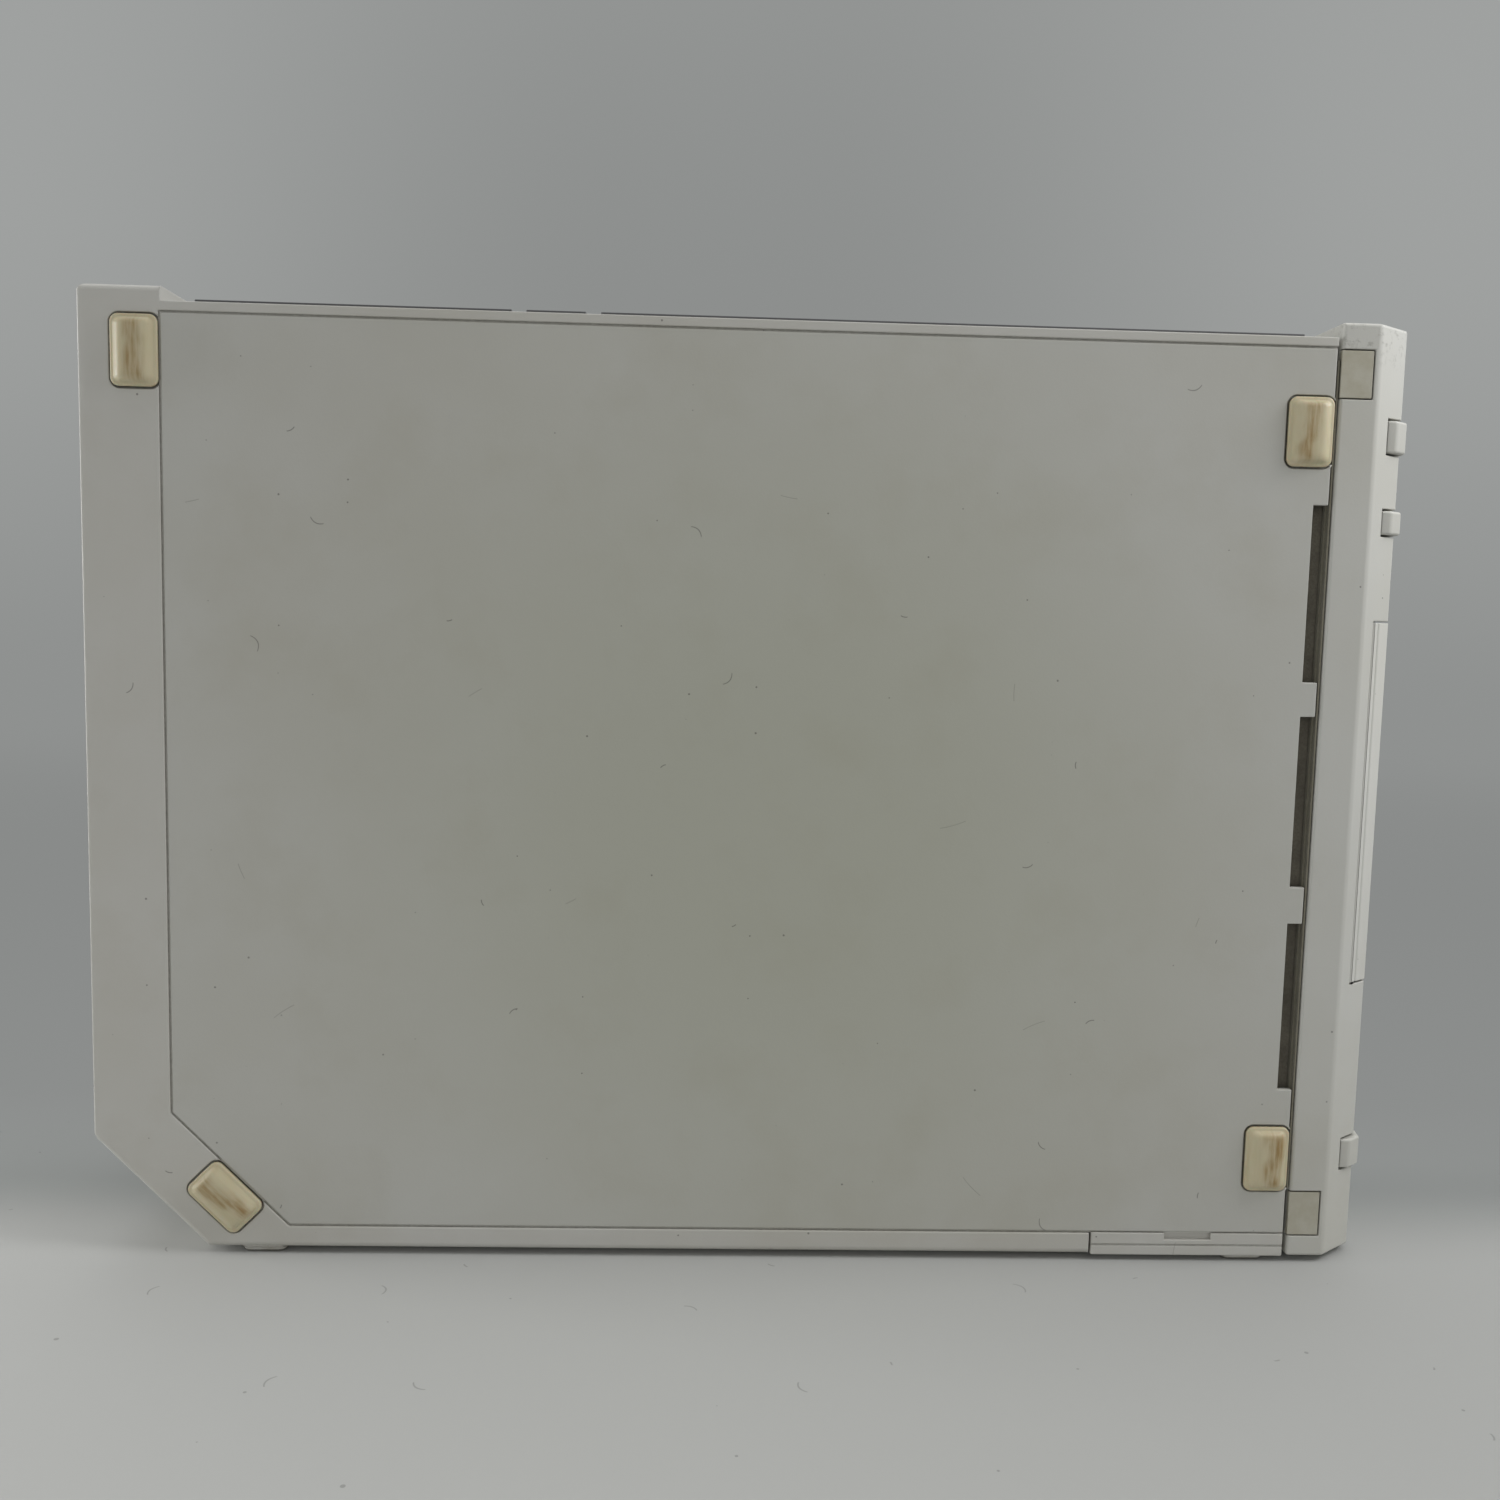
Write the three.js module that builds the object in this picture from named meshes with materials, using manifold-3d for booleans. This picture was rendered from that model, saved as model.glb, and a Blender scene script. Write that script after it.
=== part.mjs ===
// A slim slot-loading disc console, standing on its narrow edge.
// X runs from the rear panel to the front bezel, Y from the side that carries the large base pads
// to the plain side cover, and Z up. Every length is in millimetres.
// Heights are measured from the underside of the case; the whole body is then lifted by its edge feet.
import * as THREE from "three";
import { mergeVertices } from "three/addons/utils/BufferGeometryUtils.js";
import Module from "manifold-3d";

const wasm = await Module();
wasm.setup();

// ---------------------------------------------------------------- driving dimensions

const LENGTH = 215.4;
const HEIGHT = 157;
const DEPTH = 44;
const WALL = 2;
const GAP = 0.3; // between two pieces that meet
const FLUSH = 0.05; // how far a plate or plug sits below the face around it
const REAR = -LENGTH / 2;
const FRONT = LENGTH / 2;
const NEAR = -DEPTH / 2; // the side with the base pads
const FAR = DEPTH / 2; // the plain side

const CASE_FRONT = 93.3; // where the case ends
const BEZEL_BACK = 93.9; // and the front bezel begins
const SPLIT = 10; // the case frame ends here and the side cover takes over
const DECK = 154.6; // the top between the two raised ends
const DECK_REAR = -94.8;
const REAR_CHAMFER = 18.4; // the cut corner at the bottom of the rear
const EDGE_FOOT_HEIGHT = 1;
const BASE_PAD_PROUD = 1.6;
const BUTTON_PROUD = 0.9;

// The base panel let into the near side of the case frame.
const PANEL = { rear: -94.9, front: 93.2, bottom: 4.1, top: 152.8, chamfer: 19.1, thick: 1.2 };
const RABBET = 1.4; // depth of the step that the panel sits in
const LEDGE = 2; // width of that step
const FRAME_FACE = 2.4; // thickness of the near face of the case frame

// The disc path. A disc stands in the XZ plane.
const DISC_Y = 8.5;
const DISC_Z = 77;
const SLOT_WIDTH = 5;
const SLOT_LENGTH = 123;

// ---------------------------------------------------------------- solids

function rect(a0, a1, b0, b1) {
  return polygon([[a0, b0], [a1, b0], [a1, b1], [a0, b1]]);
}

function polygon(points) {
  return new THREE.Shape(points.map(([a, b]) => new THREE.Vector2(a, b)));
}

function roundRect(a0, a1, b0, b1, r) {
  const shape = new THREE.Shape();
  shape.absarc(a1 - r, b1 - r, r, 0, Math.PI / 2);
  shape.absarc(a0 + r, b1 - r, r, Math.PI / 2, Math.PI);
  shape.absarc(a0 + r, b0 + r, r, Math.PI, 1.5 * Math.PI);
  shape.absarc(a1 - r, b0 + r, r, 1.5 * Math.PI, 2 * Math.PI);
  return shape;
}

function circle(a, b, r) {
  return new THREE.Shape().absarc(a, b, r, 0, 2 * Math.PI);
}

function manifold(geometry) {
  geometry.deleteAttribute("normal");
  geometry.deleteAttribute("uv");
  const merged = mergeVertices(geometry, 1e-4);
  return new wasm.Manifold(new wasm.Mesh({
    numProp: 3,
    vertProperties: new Float32Array(merged.attributes.position.array),
    triVerts: new Uint32Array(merged.index.array),
  }));
}

// Extrudes a shape. The three versions below draw it in XZ, in XY and in YZ.
function extrude(shape, depth, basis, at, segments) {
  const geometry = new THREE.ExtrudeGeometry(shape, { depth, bevelEnabled: false, curveSegments: segments });
  return manifold(geometry.applyMatrix4(basis.clone().setPosition(...at)));
}

const X = new THREE.Vector3(1, 0, 0);
const Y = new THREE.Vector3(0, 1, 0);
const Z = new THREE.Vector3(0, 0, 1);
const ALONG_X = new THREE.Matrix4().makeBasis(Y, Z, X);
const ALONG_Y = new THREE.Matrix4().makeBasis(X, Z, Y.clone().negate());
const ALONG_Z = new THREE.Matrix4().makeBasis(X, Y, Z);

function alongX(shape, x0, x1, segments = 6) {
  return extrude(shape, x1 - x0, ALONG_X, [x0, 0, 0], segments);
}

function alongY(shape, y0, y1, segments = 6) {
  return extrude(shape, y1 - y0, ALONG_Y, [0, y1, 0], segments);
}

function alongZ(shape, z0, z1, segments = 6) {
  return extrude(shape, z1 - z0, ALONG_Z, [0, 0, z0], segments);
}

function block(x0, x1, y0, y1, z0, z1) {
  return alongZ(rect(x0, x1, y0, y1), z0, z1);
}

function join(...solids) {
  return solids.reduce((all, one) => all.add(one));
}

function cut(solid, ...tools) {
  return tools.reduce((left, tool) => left.subtract(tool), solid);
}

function spread(count, pitch) {
  return Array.from({ length: count }, (_, i) => (i - (count - 1) / 2) * pitch);
}

// ---------------------------------------------------------------- materials and the group

const FINISH = {
  shell: { color: "#d9d9d6", roughness: 0.35 },
  panel: { color: "#c6c6bf", roughness: 0.5 },
  dark: { color: "#3b3a37", roughness: 0.6 },
  pad: { color: "#cfc6a6", roughness: 0.7 },
  cover: { color: "#bdbbae", roughness: 0.8 },
  steel: { color: "#b9bcbe", roughness: 0.35, metalness: 1 },
  aluminium: { color: "#c9cbcd", roughness: 0.4, metalness: 1 },
  board: { color: "#2f5d3a", roughness: 0.5 },
  black: { color: "#1b1b1c", roughness: 0.5 },
  rubber: { color: "#26241f", roughness: 0.9 },
  lamp: { color: "#9fc6e6", roughness: 0.2 },
};
const materials = Object.fromEntries(
  Object.entries(FINISH).map(([name, look]) => [name, new THREE.MeshStandardMaterial(look)]),
);

const consoleGroup = new THREE.Group();

function add(name, solid, finish) {
  const { vertProperties, triVerts } = solid.getMesh();
  const geometry = new THREE.BufferGeometry()
    .setAttribute("position", new THREE.BufferAttribute(new Float32Array(vertProperties), 3))
    .setIndex(new THREE.BufferAttribute(new Uint32Array(triVerts), 1));
  geometry.computeVertexNormals();
  const mesh = new THREE.Mesh(geometry, materials[finish]);
  mesh.name = name;
  consoleGroup.add(mesh);
}

// ---------------------------------------------------------------- the case

// The body seen from the side, drawn in XZ and moved in by an inset.
function bodyOutline(inset, front) {
  const corner = inset * (Math.SQRT2 - 1);
  const step = DECK_REAR - inset;
  return polygon([
    [REAR + inset, REAR_CHAMFER + corner],
    [REAR + REAR_CHAMFER + corner, inset],
    [front, inset],
    [front, DECK - inset],
    [step, DECK - inset],
    [step, HEIGHT - inset],
    [REAR + inset, HEIGHT - inset],
  ]);
}

// The base panel's outline, grown or shrunk by an offset. Its rear lower corner is cut at 45 degrees.
function panelOutline(offset, front) {
  const corner = PANEL.chamfer - offset * (Math.SQRT2 - 1) + offset;
  return polygon([
    [PANEL.rear - offset, PANEL.bottom + corner - offset],
    [PANEL.rear + corner - offset, PANEL.bottom - offset],
    [front, PANEL.bottom - offset],
    [front, PANEL.top + offset],
    [PANEL.rear - offset, PANEL.top + offset],
  ]);
}

// Three air slots in the front edge of the base panel: [bottom, top].
const AIR_SLOTS = [[29.4, 58.1], [64.3, 93], [98.7, 127.7]];
const AIR_SLOT_REAR = 90.7;

// The large pads for lying flat: centre, and the angle of the long side from vertical.
const PAD = { width: 7.4, length: 11.2, corner: 1.3, sunk: 0.8, clearance: 0.3 };
const PADS = [
  { name: "base_pad_rear_top", x: -98.9, z: 146.8, turn: 0 },
  { name: "base_pad_rear_corner", x: -86.4, z: 8.75, turn: 45 },
  { name: "base_pad_front_top", x: 89.4, z: 139.4, turn: 0 },
  { name: "base_pad_front_bottom", x: 89.4, z: 17.3, turn: 0 },
];

function padBlock({ x, z, turn }, grow, y0, y1) {
  const w = PAD.width / 2 + grow;
  const l = PAD.length / 2 + grow;
  return alongY(roundRect(-w, w, -l, l, PAD.corner + grow), y0, y1, 3)
    .rotate([0, -turn, 0])
    .translate([x, 0, z]);
}

// The bay in the top deck that the controller and memory sockets open into.
const BAY = { rear: -92.1, front: 90.9, near: -20.1, far: 9.7, floor: 149.5, plate: 1.2, wall: 1.5 };
const BRIDGE = { rear: -38.6, front: -27.6 };

// The battery tray slides out of the lower front corner.
const TRAY = { rear: 59.9, front: 93.2, top: 3.9, far: -9 };

// Openings in the rear wall for the sockets and the exhaust: [y0, y1, z0, z1].
const EXHAUST = [-15, 5, 97, 137];
const SOCKETS = [
  { name: "data_socket_lower", hole: [-15.6, -9.6, 79, 93], wall: 0.6, deep: 14 },
  { name: "data_socket_upper", hole: [-9, -3, 79, 93], wall: 0.6, deep: 14 },
  { name: "video_socket", hole: [-15.6, -8, 55, 73], wall: 1.1, deep: 12 },
  { name: "sensor_socket", hole: [-15.6, -9.2, 41, 49], wall: 0.9, deep: 10 },
  { name: "power_socket", hole: [-15.6, -8, 25, 35], wall: 1.1, deep: 12 },
];

const BEZEL_SCREWS = [148.8, 7.6];
const SCREW_X = 96.6;
const EAR = { rear: 84, near: -11.9, far: -8.5 };
const EDGE_FOOT = { length: 7.2, depth: 6.4, setback: 0.8, sunk: 0.7 };
const EDGE_FEET = [
  { name: "edge_foot_rear_near", x: -80.3, side: -1 },
  { name: "edge_foot_rear_far", x: -80.3, side: 1 },
  { name: "edge_foot_front_near", x: 86.6, side: -1 },
  { name: "edge_foot_front_far", x: 86.6, side: 1 },
];

function edgeFootBlock({ x, side }, grow, z0, z1) {
  const outer = side * (DEPTH / 2 - EDGE_FOOT.setback);
  const inner = outer - side * EDGE_FOOT.depth;
  const half = EDGE_FOOT.length / 2 + grow;
  return alongZ(
    roundRect(x - half, x + half, Math.min(outer, inner) - grow, Math.max(outer, inner) + grow, 1.2),
    z0, z1, 3,
  );
}

function caseFrame() {
  const inside = CASE_FRONT + 1;
  const shell = cut(
    alongY(bodyOutline(0, CASE_FRONT), NEAR, SPLIT),
    alongY(bodyOutline(WALL, inside), NEAR + FRAME_FACE, SPLIT + 1),
    alongY(panelOutline(GAP, inside), NEAR - 1, NEAR + RABBET),
    alongY(panelOutline(-LEDGE, inside), NEAR - 1, NEAR + FRAME_FACE + 1),
    block(BAY.rear - GAP, BAY.front + GAP, BAY.near - GAP, SPLIT + 1, BAY.floor - 4, HEIGHT),
    block(TRAY.rear - GAP, inside, NEAR - 1, TRAY.far + GAP, -1, PANEL.bottom + LEDGE + 1),
    alongX(rect(...EXHAUST), REAR - 1, REAR + WALL + 1),
  );
  const socketHoles = SOCKETS.map(({ hole: [y0, y1, z0, z1] }) =>
    alongX(rect(y0 - GAP, y1 + GAP, z0 - GAP, z1 + GAP), REAR - 1, REAR + WALL + 1));
  const padPockets = PADS.filter((pad) => pad.x < 0)
    .map((pad) => padBlock(pad, PAD.clearance, NEAR - 1, NEAR + PAD.sunk));
  const footPockets = EDGE_FEET.filter((foot) => foot.side < 0 && foot.x < 0)
    .map((foot) => edgeFootBlock(foot, PAD.clearance, -1, EDGE_FOOT.sunk));
  return cut(join(shell, ...screwEars()), ...socketHoles, ...padPockets, ...footPockets);
}

// Two ears reach forward into the bezel and take its screws.
function screwEars() {
  const { rear, near, far } = EAR;
  const [high, low] = BEZEL_SCREWS;
  const front = SCREW_X + 3.4;
  const upper = cut(
    block(rear, front, near, far, high - 3.4, DECK - 1),
    block(rear - 1, BAY.front + GAP, near - 1, far + 1, BAY.floor - 2, HEIGHT),
  );
  const lower = join(
    block(rear, front, near, far, low - 3.2, low + 3.4),
    block(rear, CASE_FRONT - GAP, far - 0.2, far + 2.5, 1, low + 3.4),
  );
  return [upper, lower].map((ear, i) =>
    cut(ear, alongY(circle(SCREW_X, BEZEL_SCREWS[i], 1.25), near - 1, far + 1, 4)));
}

function basePanel() {
  const plate = alongY(panelOutline(0, PANEL.front), NEAR + FLUSH, NEAR + FLUSH + PANEL.thick);
  const slots = AIR_SLOTS.map(([z0, z1]) => block(AIR_SLOT_REAR, PANEL.front + 1, NEAR - 1, -15, z0, z1));
  const seats = PADS.filter((pad) => pad.x > 0);
  const thickened = seats.map((pad) =>
    block(84, PANEL.front, NEAR + PANEL.thick - 0.2, NEAR + PANEL.thick + 1, pad.z - 7, pad.z + 7));
  const pockets = seats.map((pad) => padBlock(pad, PAD.clearance, NEAR - 1, NEAR + PAD.sunk));
  return cut(join(plate, ...thickened), ...slots, ...pockets);
}

function basePad(pad) {
  return join(
    padBlock(pad, 0, NEAR - 0.5, NEAR + PAD.sunk - 0.2),
    padBlock(pad, -0.5, NEAR - 1.2, NEAR),
    padBlock(pad, -1.2, NEAR - BASE_PAD_PROUD, NEAR),
  );
}

function sideCover() {
  const inside = CASE_FRONT + 1;
  const shell = cut(
    alongY(bodyOutline(0, CASE_FRONT), SPLIT + GAP, FAR),
    alongY(bodyOutline(WALL, inside), SPLIT - 1, FAR - WALL),
  );
  const footPockets = EDGE_FEET.filter((foot) => foot.side > 0 && foot.x < CASE_FRONT)
    .map((foot) => edgeFootBlock(foot, PAD.clearance, -1, EDGE_FOOT.sunk));
  return cut(shell, ...footPockets);
}

// ---------------------------------------------------------------- the front bezel

// The nose of the console seen from above, drawn in XY and moved out by an offset. A broad facet
// runs from the near side to the flat front, and a narrow one to the far side.
const NOSE = { nearX: 100.3, ridge: [106.9, -17], front: -12.5, farFacet: 3 };

function noseProfile(offset, back) {
  const n = 0.3 * offset; // how far a facet's corners slide when the profile grows
  return polygon([
    [back, NEAR - offset],
    [NOSE.nearX + n, NEAR - offset],
    [NOSE.ridge[0] + offset * 0.8, NOSE.ridge[1] - offset * 0.5],
    [FRONT + offset, NOSE.front],
    [FRONT + offset, FAR - NOSE.farFacet],
    [FRONT - NOSE.farFacet + n, FAR + offset],
    [back, FAR + offset],
  ]);
}

// Buttons and the card door: [bottom, top] and the depth that each takes of the nose.
const BUTTONS = [
  { name: "power_button", z0: 136.7, z1: 142 },
  { name: "reset_button", z0: 123.4, z1: 127.3 },
  { name: "eject_button", z0: 14.7, z1: 19.8 },
];
const BUTTON_NEAR = -19.4;
const BUTTON_FAR = -9;
const BUTTON_PLAY = 0.35; // all round a button in its hole
const DOOR = { z0: 47.6, z1: 108.8, far: -7, thick: 1.6, hinge: [103.1, -18.8], knuckle: 1, room: 1.3 };
const LAMP = { y: -5.5, z: 145, r: 1.1 };
const SCREW_COVER = { rear: 93.9, front: 99.2, half: 3.8, thick: 1 };

function slotOpening(grow, x0, x1) {
  const w = SLOT_WIDTH / 2 + grow;
  const l = SLOT_LENGTH / 2 + grow;
  return alongX(rect(DISC_Y - w, DISC_Y + w, DISC_Z - l, DISC_Z + l), x0, x1);
}

function frontBezel() {
  const cap = WALL;
  const shell = cut(
    alongZ(noseProfile(0, BEZEL_BACK), 0, HEIGHT),
    alongZ(noseProfile(-WALL, BEZEL_BACK - 1), cap, HEIGHT - cap),
  );
  const flange = block(BEZEL_BACK, BEZEL_BACK + 1.5, NEAR + 1, NEAR + 6, cap - 0.5, HEIGHT - cap + 0.5);
  const bosses = BEZEL_SCREWS.map((z) => block(BEZEL_BACK, 100, NEAR + 0.5, EAR.near - GAP, z - 4.4, z + 4.4));
  const pockets = BEZEL_SCREWS.flatMap((z) => [
    block(BEZEL_BACK - 1, SCREW_COVER.front + 0.2, NEAR - 1, NEAR + 1.1, z - 4, z + 4),
    alongY(circle(SCREW_X, z, 2.3), NEAR, -18.9, 6),
    alongY(circle(SCREW_X, z, 1.2), NEAR, EAR.near, 6),
  ]);
  const buttonHoles = BUTTONS.map(({ z0, z1 }) =>
    block(98, 112, BUTTON_NEAR - BUTTON_PLAY, BUTTON_FAR + BUTTON_PLAY, z0 - BUTTON_PLAY, z1 + BUTTON_PLAY));
  const [hx, hy] = DOOR.hinge;
  const doorHole = join(
    block(100, 112, hy, DOOR.far + GAP, DOOR.z0 - GAP, DOOR.z1 + GAP),
    block(hx + 0.7, 112, hy - 1.2, hy + 1, DOOR.z0 - GAP, DOOR.z1 + GAP),
    alongZ(circle(hx, hy, DOOR.room), DOOR.z0 - GAP, DOOR.z1 + GAP),
    alongZ(circle(hx, hy, 0.7), DOOR.z0 - 1.2, DOOR.z1 + 1.2),
  );
  return cut(
    join(shell, flange, ...bosses),
    ...pockets,
    ...buttonHoles,
    doorHole,
    slotOpening(2.2, 100, 112),
    alongX(circle(LAMP.y, LAMP.z, LAMP.r + 0.15), 100, 112),
  );
}

// A slice of the nose, for a button or a door that continues its surface.
function noseSlice(offset, thick, y0, y1, z0, z1) {
  return cut(alongZ(noseProfile(offset, 98), z0, z1), alongZ(noseProfile(offset - thick, 90), z0 - 1, z1 + 1))
    .intersect(block(99, 112, y0, y1, z0 - 1, z1 + 1));
}

function button({ z0, z1 }) {
  const cap = alongZ(noseProfile(BUTTON_PROUD, 98), z0, z1)
    .intersect(block(103.4, 112, BUTTON_NEAR, BUTTON_FAR, z0, z1));
  const stem = block(100.6, 104, -14.4, -12.4, (z0 + z1) / 2 - 1.2, (z0 + z1) / 2 + 1.2);
  return join(cap, stem);
}

function cardDoor() {
  const [hx, hy] = DOOR.hinge;
  const leaf = noseSlice(0, DOOR.thick, hy, DOOR.far, DOOR.z0, DOOR.z1);
  const knuckle = alongZ(circle(hx, hy, DOOR.knuckle), DOOR.z0, DOOR.z1)
    .intersect(alongZ(noseProfile(0, 98), DOOR.z0, DOOR.z1));
  const pin = alongZ(circle(hx, hy, 0.5), DOOR.z0 - 0.9, DOOR.z1 + 0.9, 4);
  return join(leaf, knuckle, pin);
}

function slotLightGuide() {
  return cut(slotOpening(1.9, 104.6, FRONT + 0.2), slotOpening(0, 100, 112));
}

function screwCover(z) {
  const { rear, front, half, thick } = SCREW_COVER;
  return block(rear, front, NEAR + FLUSH, NEAR + thick, z - half, z + half);
}

function bezelScrew(z) {
  return join(
    alongY(circle(SCREW_X, z, 2), -20.6, -19.1, 5),
    alongY(circle(SCREW_X, z, 1), -19.3, EAR.far - 0.4, 5),
  );
}

// ---------------------------------------------------------------- the bay and its doors

const LID = { thick: 1.6, top: 155, near: -18.9, hingeY: 7, pin: 0.9, gap: 0.3 };
const LID_AXIS_Z = LID.top - LID.thick / 2;
const LIDS = [
  { name: "memory_card_door", rear: BAY.rear + 1.1, front: BRIDGE.rear - LID.gap },
  { name: "controller_port_door", rear: BRIDGE.front + LID.gap, front: BAY.front - 1.1 },
];
const CONTROLLER_X = spread(4, 27.6).map((x) => x + 31.4);
const CONTROLLER = { y: -10.3, r: 5.8, half: [9, 6.4], z0: 139.9, z1: 148 };
const MEMORY_Y = [-11.5, -1];
const MEMORY = { x: -65, half: [16, 4.6], mouth: [13.5, 3.1], z0: 139, z1: 148 };
const RIM_TOP = 155.3;

function portBayLiner() {
  const floorZ = BAY.floor - BAY.plate;
  const tub = block(BAY.rear, BAY.front, BAY.near, BAY.far, floorZ, RIM_TOP);
  const rooms = LIDS.map(({ rear, front }) =>
    block(rear - LID.gap, front + LID.gap, BAY.near + 0.8, BAY.far - BAY.wall, BAY.floor, HEIGHT));
  const low = block(BAY.rear - 1, BAY.front + 1, BAY.near + 0.8, BAY.far + 1, LID.top + 0.05, HEIGHT);
  const notches = [
    [BAY.rear - 1, -90.1], [-40.1, -37.8], [-28.3, -25.9], [88.4, BAY.front + 1],
  ].map(([x0, x1]) => block(x0, x1, BAY.near - 1, BAY.near + 0.9, DECK, HEIGHT));
  const pinHoles = LIDS.map(({ rear, front }) =>
    alongX(circle(LID.hingeY, LID_AXIS_Z, 0.75), rear - LID.pin - 0.1, front + LID.pin + 0.1, 4));
  const plugHoles = CONTROLLER_X.map((x) =>
    alongZ(circle(x, CONTROLLER.y, CONTROLLER.r + 0.4), floorZ - 1, BAY.floor + 1, 8));
  const cardHoles = MEMORY_Y.map((y) => block(
    MEMORY.x - MEMORY.mouth[0] - 0.4, MEMORY.x + MEMORY.mouth[0] + 0.4,
    y - MEMORY.mouth[1] - 0.3, y + MEMORY.mouth[1] + 0.3, floorZ - 1, BAY.floor + 1,
  ));
  return cut(tub, ...rooms, low, ...notches, ...pinHoles, ...plugHoles, ...cardHoles);
}

function lid({ rear, front }) {
  const plate = block(rear, front, LID.near, LID.hingeY, LID.top - LID.thick, LID.top);
  const knuckle = alongX(circle(LID.hingeY, LID_AXIS_Z, LID.thick / 2), rear, front, 5);
  const pins = alongX(circle(LID.hingeY, LID_AXIS_Z, 0.6), rear - LID.pin, front + LID.pin, 4);
  const lip = block(rear + 8, front - 8, LID.near, LID.near + 1.2, LID.top - 2.8, LID.top - 1);
  return join(plate, knuckle, pins, lip);
}

function controllerSocket(x) {
  const [w, d] = CONTROLLER.half;
  return cut(
    block(x - w, x + w, CONTROLLER.y - d, CONTROLLER.y + d, CONTROLLER.z0, CONTROLLER.z1),
    alongZ(circle(x, CONTROLLER.y, CONTROLLER.r), CONTROLLER.z0 + 1, CONTROLLER.z1 + 1, 8),
  );
}

function memorySlot(y) {
  const [w, d] = MEMORY.half;
  const [mw, md] = MEMORY.mouth;
  return cut(
    block(MEMORY.x - w, MEMORY.x + w, y - d, y + d, MEMORY.z0, MEMORY.z1),
    block(MEMORY.x - mw, MEMORY.x + mw, y - md, y + md, MEMORY.z0 + 1.5, MEMORY.z1 + 1),
  );
}

// ---------------------------------------------------------------- battery tray and feet

// The tray's end shows as part of the rim. A fine groove runs along it, and a notch takes a fingertip.
const TRAY_GROOVE = { z0: 1.65, z1: 1.9, deep: 0.2 };
const NOTCH = { rear: 72.6, front: 80.7, bottom: 2.7, deep: 0.8 };
const TRAY_WALL = 1.5;
const CELL = { x: 76.5, z: 17.5, r: 10, y0: -17.3, y1: -14.1 };

function batteryTray() {
  const door = cut(
    block(TRAY.rear, TRAY.front, NEAR, TRAY.far, 0, TRAY.top),
    block(TRAY.rear + TRAY_WALL, TRAY.front - TRAY_WALL, NEAR + TRAY_WALL, TRAY.far - TRAY_WALL,
      TRAY_WALL, TRAY.top + 1),
    block(NOTCH.rear, NOTCH.front, NEAR - 1, NEAR + NOTCH.deep, NOTCH.bottom, TRAY.top + 1),
    block(TRAY.rear - 1, TRAY.front + 1, NEAR - 1, NEAR + TRAY_GROOVE.deep, TRAY_GROOVE.z0, TRAY_GROOVE.z1),
  );
  const holder = cut(
    block(64, 89, -18.4, -13, 1, 30),
    alongY(circle(CELL.x, CELL.z, CELL.r + 0.3), CELL.y0 - GAP, -12, 12),
  );
  const pocket = edgeFootBlock(EDGE_FEET[2], PAD.clearance, -1, EDGE_FOOT.sunk);
  return cut(join(door, holder), pocket);
}

function coinCell() {
  return alongY(circle(CELL.x, CELL.z, CELL.r), CELL.y0, CELL.y1, 12);
}

function edgeFoot(foot) {
  return join(
    edgeFootBlock(foot, 0, -0.8, EDGE_FOOT.sunk - 0.1),
    edgeFootBlock(foot, -0.15, -EDGE_FOOT_HEIGHT, 0),
  );
}

// ---------------------------------------------------------------- boards, cooling and sockets

const BOARD_Y = [-17.6, -16];

function mainBoard() {
  return alongY(polygon([
    [-104, 24], [-86, 6.4], [57, 6.4], [57, 34], [88, 34], [88, 138.6], [-104, 138.6],
  ]), ...BOARD_Y);
}

function boardShield() {
  return alongY(polygon([
    [-104, 26], [-84, 7], [56, 7], [56, 36], [86, 36], [86, 138], [-104, 138],
  ]), -19.2, -18.6);
}

function processorPackage() {
  return join(block(-42, -14, -15.7, -14.6, 66, 94), block(-35, -21, -14.7, -13.9, 72, 88));
}

function heatSink() {
  const base = block(-56, -4, -13.6, -12, 54, 106);
  const fins = spread(11, 5).map((z) => block(-56, -4, -12.2, -4.4, 80 + z - 0.7, 80 + z + 0.7));
  return join(base, ...fins);
}

const FAN = { x: -83, z: 117, r: 17, y0: -15.5, y1: -1.5 };

function fanHousing() {
  return cut(
    block(-103.6, -63, FAN.y0, FAN.y1, 96.5, 137.5),
    alongY(circle(FAN.x, FAN.z, FAN.r + 1), FAN.y0 + 1.5, FAN.y1 - 1.2, 14),
    alongY(circle(FAN.x, FAN.z, 13), FAN.y1 - 2, FAN.y1 + 1, 12),
    block(-105, -90, FAN.y0 + 1.5, FAN.y1 - 1.2, 100, 134),
  );
}

function fanRotor() {
  const disc = alongY(circle(FAN.x, FAN.z, FAN.r - 0.5), -13.6, -12.6, 12);
  const hub = alongY(circle(FAN.x, FAN.z, 8), -12.8, -4, 10);
  const blades = Array.from({ length: 16 }, (_, i) =>
    block(11, 16, -12.8, -4, -0.4, 0.4).rotate([0, 22.5 * i, 0]).translate([FAN.x, 0, FAN.z]));
  return join(disc, hub, ...blades);
}

function exhaustGrille() {
  const [y0, y1, z0, z1] = EXHAUST;
  const plate = alongX(rect(y0 + GAP, y1 - GAP, z0 + GAP, z1 - GAP), REAR + 0.4, REAR + 1.9);
  const slots = spread(9, 4.2).map((z) => {
    const mid = (z0 + z1) / 2 + z;
    return block(REAR - 1, REAR + 3, y0 + 2, y1 - 2, mid - 1.3, mid + 1.3);
  });
  return cut(plate, ...slots);
}

function rearSocket({ hole: [y0, y1, z0, z1], wall, deep }) {
  const mouth = REAR + 0.3;
  return cut(
    alongX(rect(y0, y1, z0, z1), mouth, mouth + deep),
    alongX(rect(y0 + wall, y1 - wall, z0 + wall, z1 - wall), mouth - 1, mouth + deep - 1.2),
  );
}

function cardReader() {
  return cut(
    block(70, 100.2, -15.2, -10.2, 63.6, 91.6),
    block(76, 101, -14.1, -11.3, 65.3, 89.9),
  );
}

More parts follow.
